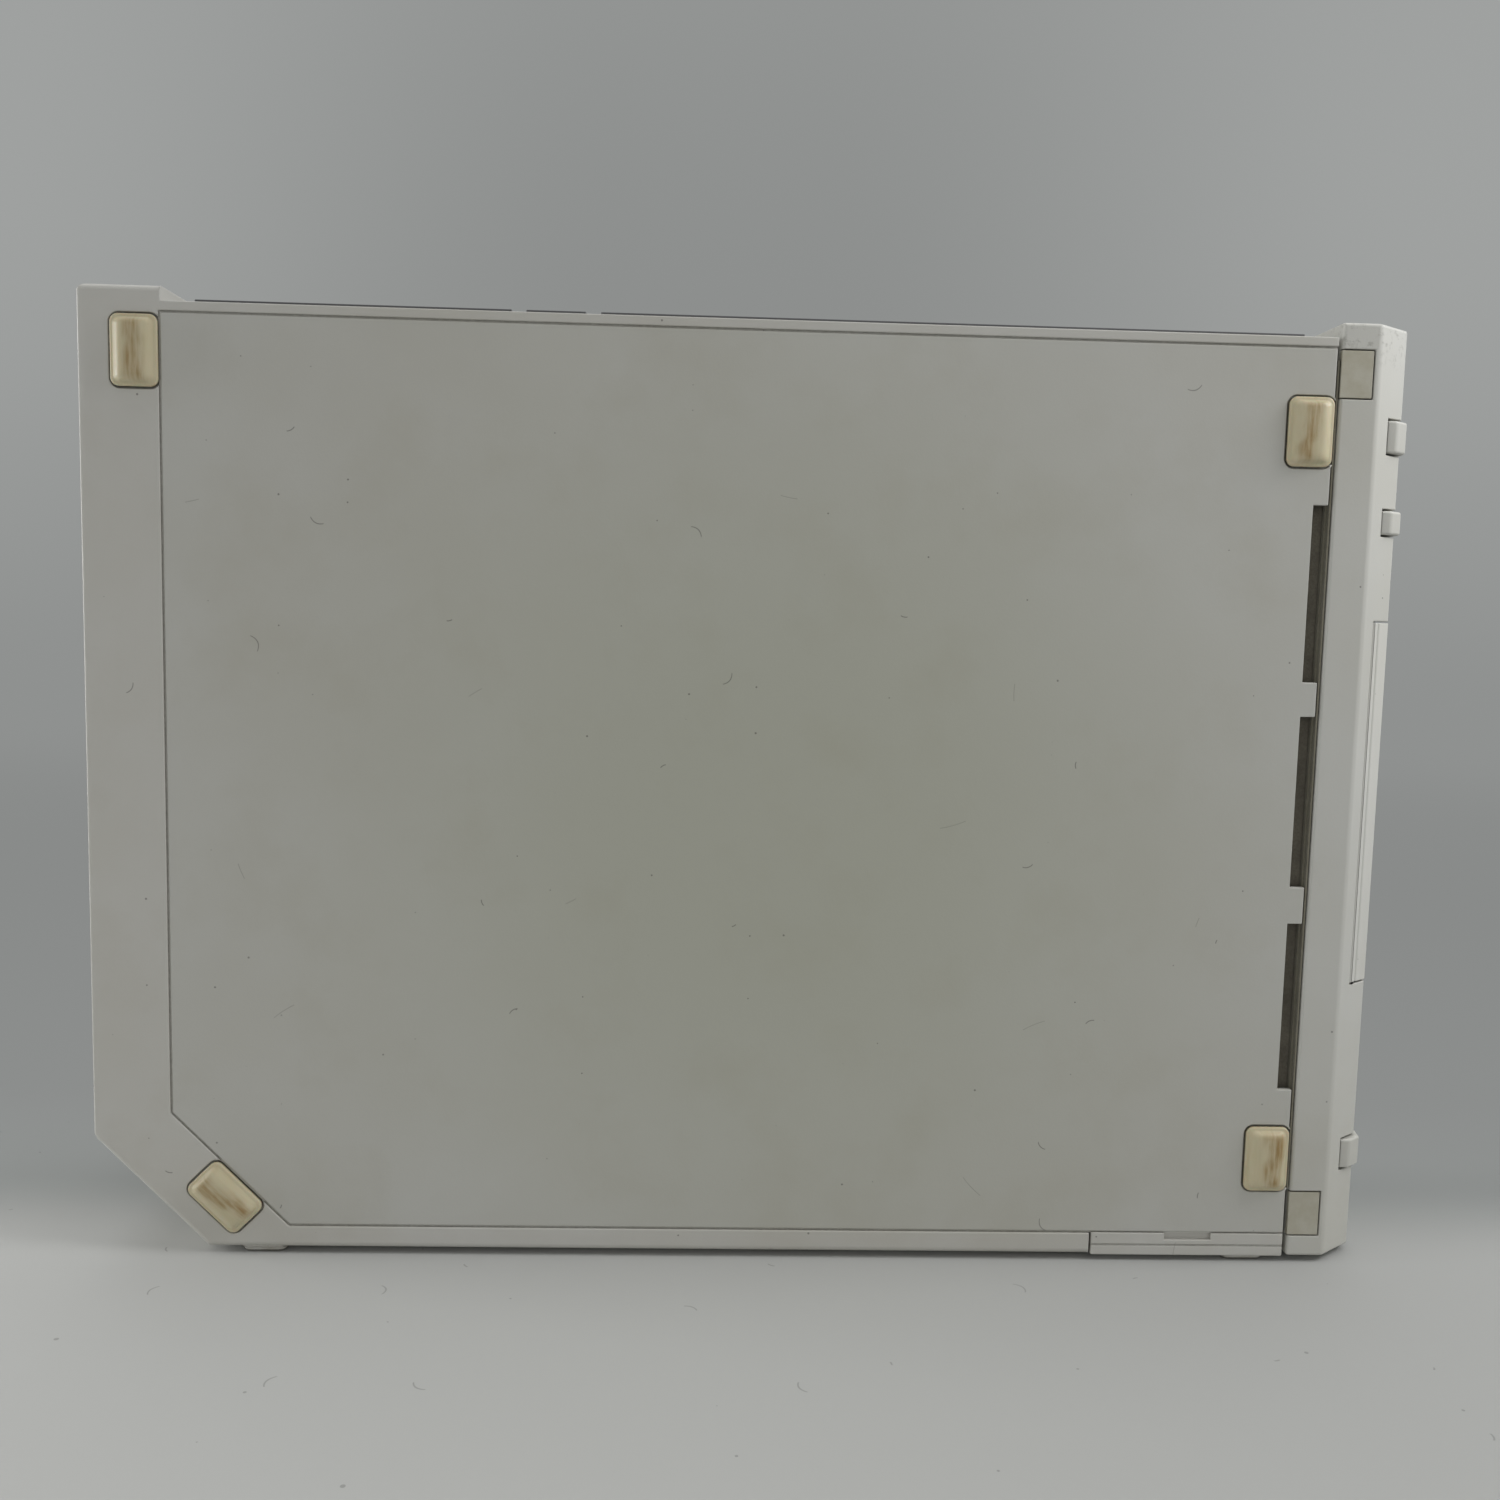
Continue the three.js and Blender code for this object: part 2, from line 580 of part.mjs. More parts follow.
function switchBoard() {
  const board = cut(
    block(97, 98.4, -19, -9, 14, 143),
    block(96, 99, -16, -9.6, 60, 96),
  );
  const switches = BUTTONS.map(({ z0, z1 }) => {
    const z = (z0 + z1) / 2;
    return block(98.2, 99.6, -15.8, -11, z - 2.4, z + 2.4);
  });
  return join(board, ...switches);
}

function statusLight() {
  return join(
    alongX(circle(LAMP.y, LAMP.z, LAMP.r), 99, FRONT + 0.15),
    alongX(rect(LAMP.y - 1.6, LAMP.y + 1.6, LAMP.z - 1.6, LAMP.z + 1.6), 98, 100),
  );
}

function wirelessModule() {
  return join(block(20, 46, -13.6, -12.6, 14, 34), block(23, 40, -12.8, -10.6, 17, 31),
    block(24, 30, -15.7, -13.4, 20, 28));
}

// ---------------------------------------------------------------- the disc drive

const DRIVE = { rear: -48, front: 90, y0: -3, y1: 17.5, z0: 14.5, z1: 139.5, wall: 1.2, part: 8.8 };
const MECH_Y = 2.1; // the plane that all the shafts lie in
const SPINDLE = { x: 20, motor: 12, hub: 7 };
const SLED = { rear: -15, front: 3, half: 32, travel: 28 };
const RAIL_OFFSET = 24;
const SCREW_OFFSET = 37;
const RAIL = { rear: -46.4, front: 6, r: 1.5, bore: 1.55 };
const ROLLER = { x: 83, r: 3, shaft: 1.2, pulley: 2.8 };
const MOTOR = { x: 67, can: 3.6, inside: 2.8, pulley: 1.6 };
const BELT = { thick: 0.8, slack: 0.15, z0: 132.4, z1: 134.4 };

function driveTray() {
  const { rear, front, y0, z0, z1, wall, part } = DRIVE;
  const tray = cut(
    block(rear, front, y0, part, z0, z1),
    block(rear + wall, front - wall, y0 + wall, part + 1, z0 + wall, z1 - wall),
    slotOpening(0.2, front - 3, front + 1),
    alongY(circle(SPINDLE.x, DISC_Z, 4), y0 - 1, y0 + 3, 6),
  );
  const bearing = (x, z, r) => cut(
    block(x - 1.4, x + 1.4, y0 + 1, MECH_Y + 3, z - 3, z + 3),
    alongX(circle(MECH_Y, z, r), x - 2, x + 2, 6),
  );
  const railEnds = [-RAIL_OFFSET, RAIL_OFFSET, -SCREW_OFFSET].map((dz) => bearing(RAIL.front - 1.4, DISC_Z + dz, 1.7));
  const rollerEnds = [z0 + 3.4, 129.6].map((z) => cut(
    block(ROLLER.x - 3, ROLLER.x + 3, y0 + 1, MECH_Y + 2.6, z - 1, z + 1),
    alongZ(circle(ROLLER.x, MECH_Y, ROLLER.shaft + 0.1), z - 2, z + 2, 5),
  ));
  return join(tray, ...railEnds, ...rollerEnds);
}

function driveCover() {
  const { rear, front, y1, z0, z1, wall, part } = DRIVE;
  return cut(
    block(rear, front, part + GAP, y1, z0, z1),
    block(rear + wall, front - wall, part - 1, y1 - wall, z0 + wall, z1 - wall),
    slotOpening(0.2, front - 3, front + 1),
    alongY(circle(SPINDLE.x, DISC_Z, 9), y1 - 3, y1 + 1, 10),
  );
}

function spindleMotor() {
  const floor = DRIVE.y0 + DRIVE.wall + GAP;
  return cut(
    alongY(circle(SPINDLE.x, DISC_Z, SPINDLE.motor), floor, 2.4, 12),
    alongY(circle(SPINDLE.x, DISC_Z, 1.6), floor + 1, 3, 5),
  );
}

function spindleHub() {
  return join(
    alongY(circle(SPINDLE.x, DISC_Z, SPINDLE.hub), 2.9, 5.6, 10),
    alongY(circle(SPINDLE.x, DISC_Z, 1.3), 0.4, 3, 5),
  );
}

function opticalSled() {
  const { rear, front, half } = SLED;
  const body = block(rear, front, MECH_Y - 2.9, MECH_Y + 2.9, DISC_Z - half, DISC_Z + half);
  const lens = alongY(circle((rear + front) / 2 + 4, DISC_Z, 2.6), MECH_Y + 2.7, MECH_Y + 3.5, 6);
  const follower = block(rear + 6, front - 6, MECH_Y - 2.9, MECH_Y - 1.9,
    DISC_Z - SCREW_OFFSET - 1.4, DISC_Z - half + 1);
  const bores = [-RAIL_OFFSET, RAIL_OFFSET].map((dz) =>
    alongX(circle(MECH_Y, DISC_Z + dz, RAIL.bore + 0.15), rear - 1, front + 1, 6));
  return cut(join(body, lens, follower), ...bores);
}

function guideRail(dz) {
  return alongX(circle(MECH_Y, DISC_Z + dz, RAIL.r), RAIL.rear, RAIL.front + 1.2, 5);
}

function leadScrew() {
  const z = DISC_Z - SCREW_OFFSET;
  return join(
    alongX(circle(MECH_Y, z, RAIL.r), RAIL.rear, RAIL.front + 4, 5),
    alongX(circle(MECH_Y, z, 3.4), RAIL.front + 3, RAIL.front + 13, 6),
  );
}

function feedRoller() {
  const at = (r, a, b, segments) => alongZ(circle(ROLLER.x, MECH_Y, r), a, b, segments);
  return join(
    at(ROLLER.r, 22, 126, 6),
    at(ROLLER.shaft, DRIVE.z0 + 1.6, 136, 5),
    at(ROLLER.pulley, BELT.z0 - 0.3, BELT.z1 + 0.3, 8),
  );
}

function loadingMotor() {
  const { x, can, inside, pulley } = MOTOR;
  const at = (r, z0, z1) => alongZ(circle(x, MECH_Y, r), z0, z1, 8);
  const foot = block(x - 5, x + 5, DRIVE.y0 + DRIVE.wall + 0.05, MECH_Y, 110, 128);
  return cut(join(at(can, 108, 130), foot), at(inside, 109, 129), at(pulley - 0.6, 128, 131));
}

function motorRotor() {
  const at = (r, z0, z1, segments) => alongZ(circle(MOTOR.x, MECH_Y, r), z0, z1, segments);
  return join(
    at(MOTOR.pulley, BELT.z0 - 0.3, BELT.z1 + 0.3, 6),
    at(0.75, 126, 133, 4),
    at(MOTOR.inside - 0.4, 110.5, 127, 8),
  );
}

// The outline of a belt around two pulleys, grown by an offset from their rims.
function beltOutline(grow) {
  const big = ROLLER.pulley + grow;
  const small = MOTOR.pulley + grow;
  const lean = Math.acos((big - small) / (ROLLER.x - MOTOR.x));
  const shape = new THREE.Shape();
  shape.absarc(ROLLER.x, MECH_Y, big, lean - Math.PI, Math.PI - lean);
  shape.absarc(MOTOR.x, MECH_Y, small, Math.PI - lean, Math.PI + lean);
  return shape;
}

function driveBelt() {
  return cut(
    alongZ(beltOutline(BELT.slack + BELT.thick), BELT.z0, BELT.z1, 8),
    alongZ(beltOutline(BELT.slack), BELT.z0 - 1, BELT.z1 + 1, 8),
  );
}

// ---------------------------------------------------------------- the assembly

add("case_frame", caseFrame(), "shell");
add("base_panel", basePanel(), "panel");
add("side_cover", sideCover(), "shell");
add("front_bezel", frontBezel(), "shell");
add("slot_light_guide", slotLightGuide(), "lamp");
add("status_light", statusLight(), "lamp");
BUTTONS.forEach((one) => add(one.name, button(one), "shell"));
add("card_door", cardDoor(), "shell");
["top", "bottom"].forEach((place, i) => {
  add(`screw_cover_${place}`, screwCover(BEZEL_SCREWS[i]), "cover");
  add(`bezel_screw_${place}`, bezelScrew(BEZEL_SCREWS[i]), "steel");
});
PADS.forEach((pad) => add(pad.name, basePad(pad), "pad"));
EDGE_FEET.forEach((foot) => add(foot.name, edgeFoot(foot), "pad"));

add("port_bay_liner", portBayLiner(), "dark");
LIDS.forEach((one) => add(one.name, lid(one), "shell"));
CONTROLLER_X.forEach((x, i) => add(`controller_socket_${i + 1}`, controllerSocket(x), "dark"));
MEMORY_Y.forEach((y, i) => add(`memory_slot_${i + 1}`, memorySlot(y), "dark"));
add("battery_tray", batteryTray(), "shell");
add("coin_cell", coinCell(), "steel");

add("main_board", mainBoard(), "board");
add("board_shield", boardShield(), "steel");
add("processor_package", processorPackage(), "black");
add("heat_sink", heatSink(), "aluminium");
add("fan_housing", fanHousing(), "black");
add("fan_rotor", fanRotor(), "black");
add("exhaust_grille", exhaustGrille(), "dark");
SOCKETS.forEach((one) => add(one.name, rearSocket(one), "dark"));
add("card_reader", cardReader(), "steel");
add("switch_board", switchBoard(), "board");
add("wireless_module", wirelessModule(), "board");

add("drive_tray", driveTray(), "steel");
add("drive_cover", driveCover(), "steel");
add("spindle_motor", spindleMotor(), "steel");
add("spindle_hub", spindleHub(), "black");
add("optical_sled", opticalSled(), "black");
add("guide_rail_lower", guideRail(-RAIL_OFFSET), "steel");
add("guide_rail_upper", guideRail(RAIL_OFFSET), "steel");
add("lead_screw", leadScrew(), "steel");
add("feed_roller", feedRoller(), "rubber");
add("loading_motor", loadingMotor(), "steel");
add("motor_rotor", motorRotor(), "steel");
add("drive_belt", driveBelt(), "rubber");

// The origin is the middle of the footprint, on the surface that the edge feet stand on.
consoleGroup.position.set(-BUTTON_PROUD / 2, BASE_PAD_PROUD / 2, EDGE_FOOT_HEIGHT);

export default consoleGroup;
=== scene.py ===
"""A slim slot-loading disc console on its narrow edge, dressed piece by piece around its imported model.

X runs from the rear wall to the front bezel, Y from the side with the large pads to the plain side, and Z up.
Everything is in metres. Sizes given in mm are multiplied by MM. A texture's scale is one over a size in mm.
"""

import math

import bmesh
import bpy
from mathutils import Matrix, Vector


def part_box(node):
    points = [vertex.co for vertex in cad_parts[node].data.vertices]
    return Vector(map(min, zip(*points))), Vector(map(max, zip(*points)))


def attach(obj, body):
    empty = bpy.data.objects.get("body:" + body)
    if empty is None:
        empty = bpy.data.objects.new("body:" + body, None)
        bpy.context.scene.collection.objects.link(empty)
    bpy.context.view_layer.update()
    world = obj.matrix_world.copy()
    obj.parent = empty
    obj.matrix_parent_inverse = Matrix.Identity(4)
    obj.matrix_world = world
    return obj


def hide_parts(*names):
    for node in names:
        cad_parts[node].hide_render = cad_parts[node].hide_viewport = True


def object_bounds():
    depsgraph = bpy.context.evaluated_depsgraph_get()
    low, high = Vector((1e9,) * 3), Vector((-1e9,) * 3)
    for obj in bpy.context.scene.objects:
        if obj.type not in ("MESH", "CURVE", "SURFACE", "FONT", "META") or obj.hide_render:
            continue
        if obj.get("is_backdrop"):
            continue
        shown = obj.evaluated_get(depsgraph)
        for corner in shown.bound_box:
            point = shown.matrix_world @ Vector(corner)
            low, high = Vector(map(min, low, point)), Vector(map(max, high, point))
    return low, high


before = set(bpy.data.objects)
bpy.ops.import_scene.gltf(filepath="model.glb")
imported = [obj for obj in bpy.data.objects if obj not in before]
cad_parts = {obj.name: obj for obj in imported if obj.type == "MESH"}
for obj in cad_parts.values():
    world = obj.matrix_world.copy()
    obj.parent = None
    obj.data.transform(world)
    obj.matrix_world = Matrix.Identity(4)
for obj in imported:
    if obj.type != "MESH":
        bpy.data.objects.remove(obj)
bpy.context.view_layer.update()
MM = 0.001


# -------- case frame
# The near half of the case: rear wall, top deck and the rim that the base panel drops into. It is
# injection-moulded ABS, about 2 mm thick, with a fine satin grain. Its outer edges are softly rounded, and
# the edges along grooves and openings keep only the small radius of the mould.

def linear(colour):
    """An sRGB hex colour as the linear RGBA that a shader takes."""
    parts = [int(colour[i : i + 2], 16) / 255 for i in (1, 3, 5)]
    return [c / 12.92 if c <= 0.04045 else ((c + 0.055) / 1.055) ** 2.4 for c in parts] + [1]


def add(tree, kind, inputs=None, **settings):
    """Adds a node with its settings, and sets or links the inputs that are given by name or number.

    A node given for an input is linked by the first output that its settings leave it.
    """
    node = tree.nodes.new(kind)
    for name, value in settings.items():
        setattr(node, name, value)
    for socket, value in (inputs or {}).items():
        if isinstance(value, bpy.types.Node):
            value = next(output for output in value.outputs if output.enabled)
        if isinstance(value, bpy.types.NodeSocket):
            tree.links.new(value, node.inputs[socket])
        else:
            node.inputs[socket].default_value = value
    return node


def start_material(name):
    material = bpy.data.materials.new(name)
    material.use_nodes = True
    material.node_tree.nodes.clear()
    return material, material.node_tree


def finish_material(tree, tone, rough, relief, depth, strength, more):
    """Joins a tone, a roughness and a relief of that depth in mm into the surface."""
    bump = add(tree, "ShaderNodeBump", {"Height": relief, "Distance": depth * MM, "Strength": strength})
    look = {"Base Color": tone, "Roughness": rough, "Normal": bump, **more}
    shader = add(tree, "ShaderNodeBsdfPrincipled", look)
    add(tree, "ShaderNodeOutputMaterial", {"Surface": shader})


def place_in_mm(tree):
    """Object coordinates in mm, as they are and laid flat onto whichever side a point is on."""
    coords = add(tree, "ShaderNodeTexCoord").outputs
    place = add(tree, "ShaderNodeVectorMath", {0: coords["Object"], 3: 1 / MM}, operation="SCALE")
    x, y, z = add(tree, "ShaderNodeSeparateXYZ", {0: place}).outputs
    facing = add(tree, "ShaderNodeVectorMath", {0: coords["Normal"]}, operation="ABSOLUTE")
    facing_x, _, facing_z = add(tree, "ShaderNodeSeparateXYZ", {0: facing}).outputs
    on_end = add(tree, "ShaderNodeMath", {0: facing_x, 1: 0.75}, operation="GREATER_THAN")
    on_top = add(tree, "ShaderNodeMath", {0: facing_z, 1: 0.75}, operation="GREATER_THAN")
    u = add(tree, "ShaderNodeMix", {0: on_end, 2: x, 3: y})
    v = add(tree, "ShaderNodeMix", {0: on_top, 2: z, 3: y})
    return place, add(tree, "ShaderNodeCombineXYZ", {0: u, 1: v})


def crevices(tree, reach, shut, clear, most, least=0.0, samples=6):
    """A share that is most where a point is shut in within that reach in mm, and least where it is clear."""
    around = add(tree, "ShaderNodeAmbientOcclusion", {"Distance": reach * MM}, samples=samples).outputs["AO"]
    return add(tree, "ShaderNodeMapRange", {0: around, 1: shut, 2: clear, 3: most, 4: least})


def stray_marks(tree, flat, cell, chance, length, width, bend, shift):
    """Short bent marks, such as hairs and scratches, at most one in each cell of that size in mm."""
    shifted = add(tree, "ShaderNodeVectorMath", {0: flat, 1: shift}, operation="ADD")
    cells = add(
        tree, "ShaderNodeTexVoronoi", {"Vector": shifted, "Scale": 1 / cell}, voronoi_dimensions="2D"
    ).outputs
    offset = add(tree, "ShaderNodeVectorMath", {0: shifted, 1: cells["Position"]}, operation="SUBTRACT")
    red, green, blue = add(tree, "ShaderNodeSeparateColor", {0: cells["Color"]}).outputs
    angle = add(tree, "ShaderNodeMath", {0: red, 1: 2 * math.pi}, operation="MULTIPLY")
    turned = add(tree, "ShaderNodeVectorRotate", {"Vector": offset, "Angle": angle}, rotation_type="Z_AXIS")
    along, across, _ = add(tree, "ShaderNodeSeparateXYZ", {0: turned}).outputs
    squared = add(tree, "ShaderNodeMath", {0: along, 1: along}, operation="MULTIPLY")
    bowed = add(tree, "ShaderNodeMath", {0: squared, 1: bend, 2: across}, operation="MULTIPLY_ADD")
    off_line = add(tree, "ShaderNodeMath", {0: bowed}, operation="ABSOLUTE")
    off_centre = add(tree, "ShaderNodeMath", {0: along}, operation="ABSOLUTE")
    # Half a mark is between a tenth and a half of the full length.
    half = add(tree, "ShaderNodeMath", {0: green, 1: length * 0.4, 2: length * 0.1}, operation="MULTIPLY_ADD")
    thin = add(
        tree, "ShaderNodeMapRange", {0: off_line, 1: 0.3 * width, 2: width, 3: 1, 4: 0},
        interpolation_type="SMOOTHSTEP",
    )
    inside = add(tree, "ShaderNodeMath", {0: off_centre, 1: half}, operation="LESS_THAN")
    chosen = add(tree, "ShaderNodeMath", {0: blue, 1: chance}, operation="LESS_THAN")
    shown = add(tree, "ShaderNodeMath", {0: thin, 1: inside}, operation="MULTIPLY")
    return add(tree, "ShaderNodeMath", {0: shown, 1: chosen}, operation="MULTIPLY")


def mottled(tree, place, under, over, size, start, end, most=1, detail=3, roughness=0.5):
    """Patches of a colour over a tone, of that size in mm: none up to start in the noise, most past end."""
    noise = add(
        tree, "ShaderNodeTexNoise",
        {"Vector": place, "Scale": 1 / size, "Detail": detail, "Roughness": roughness},
    )
    share = add(tree, "ShaderNodeMapRange", {0: noise, 1: start, 2: end, 4: most})
    return add(tree, "ShaderNodeMix", {0: share, 6: under, 7: linear(over)}, data_type="RGBA")


# The middle of a broad panel, where a darker, warmer tone gathers: a point in X and Z in mm, and how far the
# tone reaches from it.
MIDDLE_X = 4.75
MIDDLE_Z = 74.1
MIDDLE_REACH = 95


def moulded_abs(name, fresh, aged, stain, roughness, grime, wear, middle=None, scuffed_from=None):
    """ABS as a satin-finished mould leaves it, after years of handling.

    The eye sees a dense chalky white with a soft broad highlight, faintly yellow patches, grey grime and
    painted shade where pieces meet, dark specks, a few short scratches and stray hairs. middle adds a darker,
    warmer tone that gathers towards the centre of a broad panel. Above the height scuffed_from, in mm, the
    corner is pitted and grey from knocks.
    """
    material, tree = start_material(name)
    place, flat = place_in_mm(tree)
    tone = mottled(tree, place, linear(fresh), aged, 38, 0.35, 0.7)
    if middle:
        centred = add(tree, "ShaderNodeMapping", {
            "Vector": place, "Location": (-MIDDLE_X / MIDDLE_REACH, 0, -MIDDLE_Z / MIDDLE_REACH),
            "Scale": (1 / MIDDLE_REACH, 0, 1 / MIDDLE_REACH),
        })
        away = add(tree, "ShaderNodeVectorMath", {0: centred}, operation="LENGTH")
        near = add(
            tree, "ShaderNodeMapRange", {0: away, 1: 0.15, 2: 1.1, 3: 1, 4: 0},
            interpolation_type="SMOOTHSTEP",
        )
        tone = add(tree, "ShaderNodeMix", {0: near, 6: tone, 7: linear(middle)}, data_type="RGBA")
    stained = mottled(tree, place, tone, stain, 16, 0.5, 0.8, most=0.13, detail=6, roughness=0.6)
    # Grey grime and painted shade: darker where a point is shut in by the pieces around it, in dusty patches.
    shut_in = crevices(tree, 0.7, 0.3, 0.85, 1)
    dust = add(tree, "ShaderNodeTexNoise", {"Vector": place, "Scale": 1 / 0.9, "Detail": 4, "Roughness": 0.7})
    patchy = add(tree, "ShaderNodeMapRange", {0: dust, 1: 0.3, 2: 0.62, 3: 0.3, 4: 1})
    dirt_and_painted_shade = add(tree, "ShaderNodeMath", {0: shut_in, 1: patchy}, operation="MULTIPLY")
    share = add(tree, "ShaderNodeMath", {0: dirt_and_painted_shade, 1: grime}, operation="MULTIPLY")
    grime_and_painted_shade = add(tree, "ShaderNodeMix", {0: share, 6: stained, 7: linear("#77736a")}, data_type="RGBA")
    specks = add(tree, "ShaderNodeTexVoronoi", {"Vector": flat, "Scale": 1 / 5.5}, voronoi_dimensions="2D")
    pick = add(tree, "ShaderNodeSeparateColor", {0: specks.outputs["Color"]})
    speck_size = add(tree, "ShaderNodeMapRange", {0: pick, 1: 1 - 0.13 * wear, 2: 1, 4: 0.035})
    speck = add(tree, "ShaderNodeMath", {0: specks, 1: speck_size}, operation="LESS_THAN")
    hair = stray_marks(tree, flat, 24, 0.45 * wear, length=2.8, width=0.13, bend=0.35, shift=(37, 17, 0))
    scratch = stray_marks(tree, flat, 31, 0.4 * wear, length=7.0, width=0.09, bend=0.03, shift=(74, 35, 0))
    faint = add(tree, "ShaderNodeMath", {0: scratch, 1: 0.3}, operation="MULTIPLY")
    spots = add(tree, "ShaderNodeMath", {0: speck, 1: hair}, operation="MAXIMUM")
    marked = add(tree, "ShaderNodeMath", {0: spots, 1: 0.55}, operation="MULTIPLY")
    all_marks = add(tree, "ShaderNodeMath", {0: marked, 1: faint}, operation="MAXIMUM")
    finished = add(tree, "ShaderNodeMix", {0: all_marks, 6: grime_and_painted_shade, 7: linear("#3a372f")}, data_type="RGBA")
    if scuffed_from:
        height = add(tree, "ShaderNodeSeparateXYZ", {0: place}).outputs["Z"]
        upper = add(tree, "ShaderNodeMapRange", {0: height, 1: scuffed_from, 2: scuffed_from + 4})
        knocks = add(
            tree, "ShaderNodeTexNoise", {"Vector": place, "Scale": 1 / 1.3, "Detail": 6, "Roughness": 0.75}
        )
        pitted = add(tree, "ShaderNodeMapRange", {0: knocks, 1: 0.53, 2: 0.66, 4: 0.46})
        scuff = add(tree, "ShaderNodeMath", {0: upper, 1: pitted}, operation="MULTIPLY")
        finished = add(tree, "ShaderNodeMix", {0: scuff, 6: finished, 7: linear("#7f7c73")}, data_type="RGBA")
    rubbed = add(tree, "ShaderNodeTexNoise", {"Vector": place, "Scale": 1 / 14, "Detail": 4})
    satin = add(
        tree, "ShaderNodeMapRange", {0: rubbed, 1: 0.3, 2: 0.7, 3: roughness - 0.06, 4: roughness + 0.08}
    )
    rough = add(tree, "ShaderNodeMath", {0: dirt_and_painted_shade, 1: 0.25, 2: satin}, operation="MULTIPLY_ADD")
    # The mould's grain is about 0.1 mm. It is drawn at 0.35 mm, the finest that still shows.
    grain = add(tree, "ShaderNodeTexNoise", {"Vector": place, "Scale": 1 / 0.35, "Detail": 2})
    relief = add(tree, "ShaderNodeMath", {0: scratch, 1: -1.5, 2: grain}, operation="MULTIPLY_ADD")
    finish_material(tree, finished, rough, relief, 0.02, 0.6, {"IOR": 1.53})
    return material


def finish_mesh(name, bm):
    mesh = bpy.data.meshes.new(name)
    bm.to_mesh(mesh)
    bm.free()
    return mesh


def new_object(name, mesh, material):
    mesh.materials.clear()
    mesh.materials.append(material)
    made = bpy.data.objects.new(name, mesh)
    bpy.context.scene.collection.objects.link(made)
    return made


def fit(piece, body, slot, *nodes):
    """The piece moves with that body and stands for any CAD nodes given. The slot is not used."""
    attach(piece, body)
    if nodes:
        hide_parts(*nodes)


SHARP = math.radians(28)
NEARLY_FLAT = math.radians(0.3)
LOOSE = 0.002 * MM
OUTERMOST = 0.03 * MM
ROUND_STEPS = 3


def round_off(node, kind, material, slot, outer, inner, body="console"):
    """Makes a copy with rounded edges stand for a CAD node. The radii are in mm.

    The copy's loose triangles are joined and its flat faces made whole first. An outer edge is one whose two
    faces both have the whole piece behind them. The other sharp edges are inner ones.
    """
    bm = bmesh.new()
    bm.from_mesh(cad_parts[node].data)
    bmesh.ops.remove_doubles(bm, verts=bm.verts, dist=LOOSE)
    bmesh.ops.dissolve_limit(bm, angle_limit=NEARLY_FLAT, verts=bm.verts, edges=bm.edges)
    points = [v.co.copy() for v in bm.verts]
    outermost = {}
    for face in bm.faces:
        reach = face.calc_center_median().dot(face.normal) + OUTERMOST
        outermost[face] = all(p.dot(face.normal) < reach for p in points)
    weight = bm.edges.layers.float.new("bevel_weight_edge")
    for edge in bm.edges:
        if len(edge.link_faces) == 2 and edge.calc_face_angle() > SHARP:
            radius = outer if all(outermost[f] for f in edge.link_faces) else inner
            edge[weight] = radius / max(outer, inner)
    mesh = finish_mesh(f"{node}_{kind}", bm)
    mesh.shade_smooth()
    made = new_object(mesh.name, mesh, material)
    bevel = made.modifiers.new("rounded edges", "BEVEL")
    bevel.width = max(outer, inner) * MM
    bevel.segments = ROUND_STEPS
    bevel.limit_method = "WEIGHT"
    bevel.use_clamp_overlap = False
    flatten = made.modifiers.new("broad faces stay flat", "WEIGHTED_NORMAL")
    flatten.weight = 100
    fit(made, body, slot, node)


case_abs = moulded_abs("satin_moulded_abs", "#cfcec9", "#c9c7bf", "#a3987c", 0.48, grime=0.5, wear=0.7)
round_off("case_frame", "moulding", case_abs, "shell", outer=1.1, inner=0.22)


# -------- side cover
# The far half of the case: one broad plain side with its own share of the rear wall, top and bottom. It is
# moulded in the same ABS and closes the case along a seam.

round_off("side_cover", "moulding", case_abs, "shell", outer=1.1, inner=0.22)


# -------- base panel
# A separate plate let into the case with an even groove all round, chamfered at one corner, with three air
# slots along its front edge. It is the same plastic in a slightly greyer shade, and has aged a little more.

panel_abs = moulded_abs(
    "satin_moulded_abs_panel", "#cacac5", "#c4c3bb", "#9c9374", 0.55, grime=0.5, wear=1.0, middle="#bbbcaf"
)
round_off("base_panel", "moulding", panel_abs, "panel", outer=0.25, inner=0.18)


# -------- front bezel
# The nose of the case, with faceted near and far sides, a tall disc slot, a card door and three buttons. It
# is moulded in fresher white ABS, pitted at the top by knocks, and is held by two screws under plugs.

bezel_abs = moulded_abs(
    "satin_moulded_abs_bezel", "#d1d1cc", "#cbcac2", "#a3987c", 0.45, grime=0.5, wear=0.8, scuffed_from=150.5
)
round_off("front_bezel", "moulding", bezel_abs, "shell", outer=0.6, inner=0.2)


# -------- panel seat
# The lip that the base panel rests on comes up close behind the groove around it, so the groove reads as a
# soft grey line. It is part of the case's moulding, and follows the panel's edge round the cut corner.

def corners_in_mm(node):
    low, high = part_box(node)
    return low / MM, high / MM


def strip_mesh(name, path, width, y0, y1):
    """A square-edged strip of that width along an open path in XZ, between two depths in Y, all in mm."""
    bm = bmesh.new()
    rings = []
    for i, (x, z) in enumerate(path):
        here = Vector((x, z))
        before = (here - Vector(path[i - 1])).normalized() if i else None
        after = (Vector(path[i + 1]) - here).normalized() if i < len(path) - 1 else None
        along = ((before or after) + (after or before)).normalized()
        lean = along.dot(after or before)
        side = Vector((-along.y, along.x)) * width / 2 / lean
        corners = [(here + side, y0), (here - side, y0), (here - side, y1), (here + side, y1)]
        rings.append([bm.verts.new((p.x * MM, y * MM, p.y * MM)) for p, y in corners])
    for one, following in zip(rings, rings[1:]):
        for i in range(4):
            bm.faces.new((one[i], one[i - 1], following[i - 1], following[i]))
    bm.faces.new(rings[0])
    bm.faces.new(rings[-1][::-1])
    bmesh.ops.recalc_face_normals(bm, faces=bm.faces)
    return finish_mesh(name, bm)


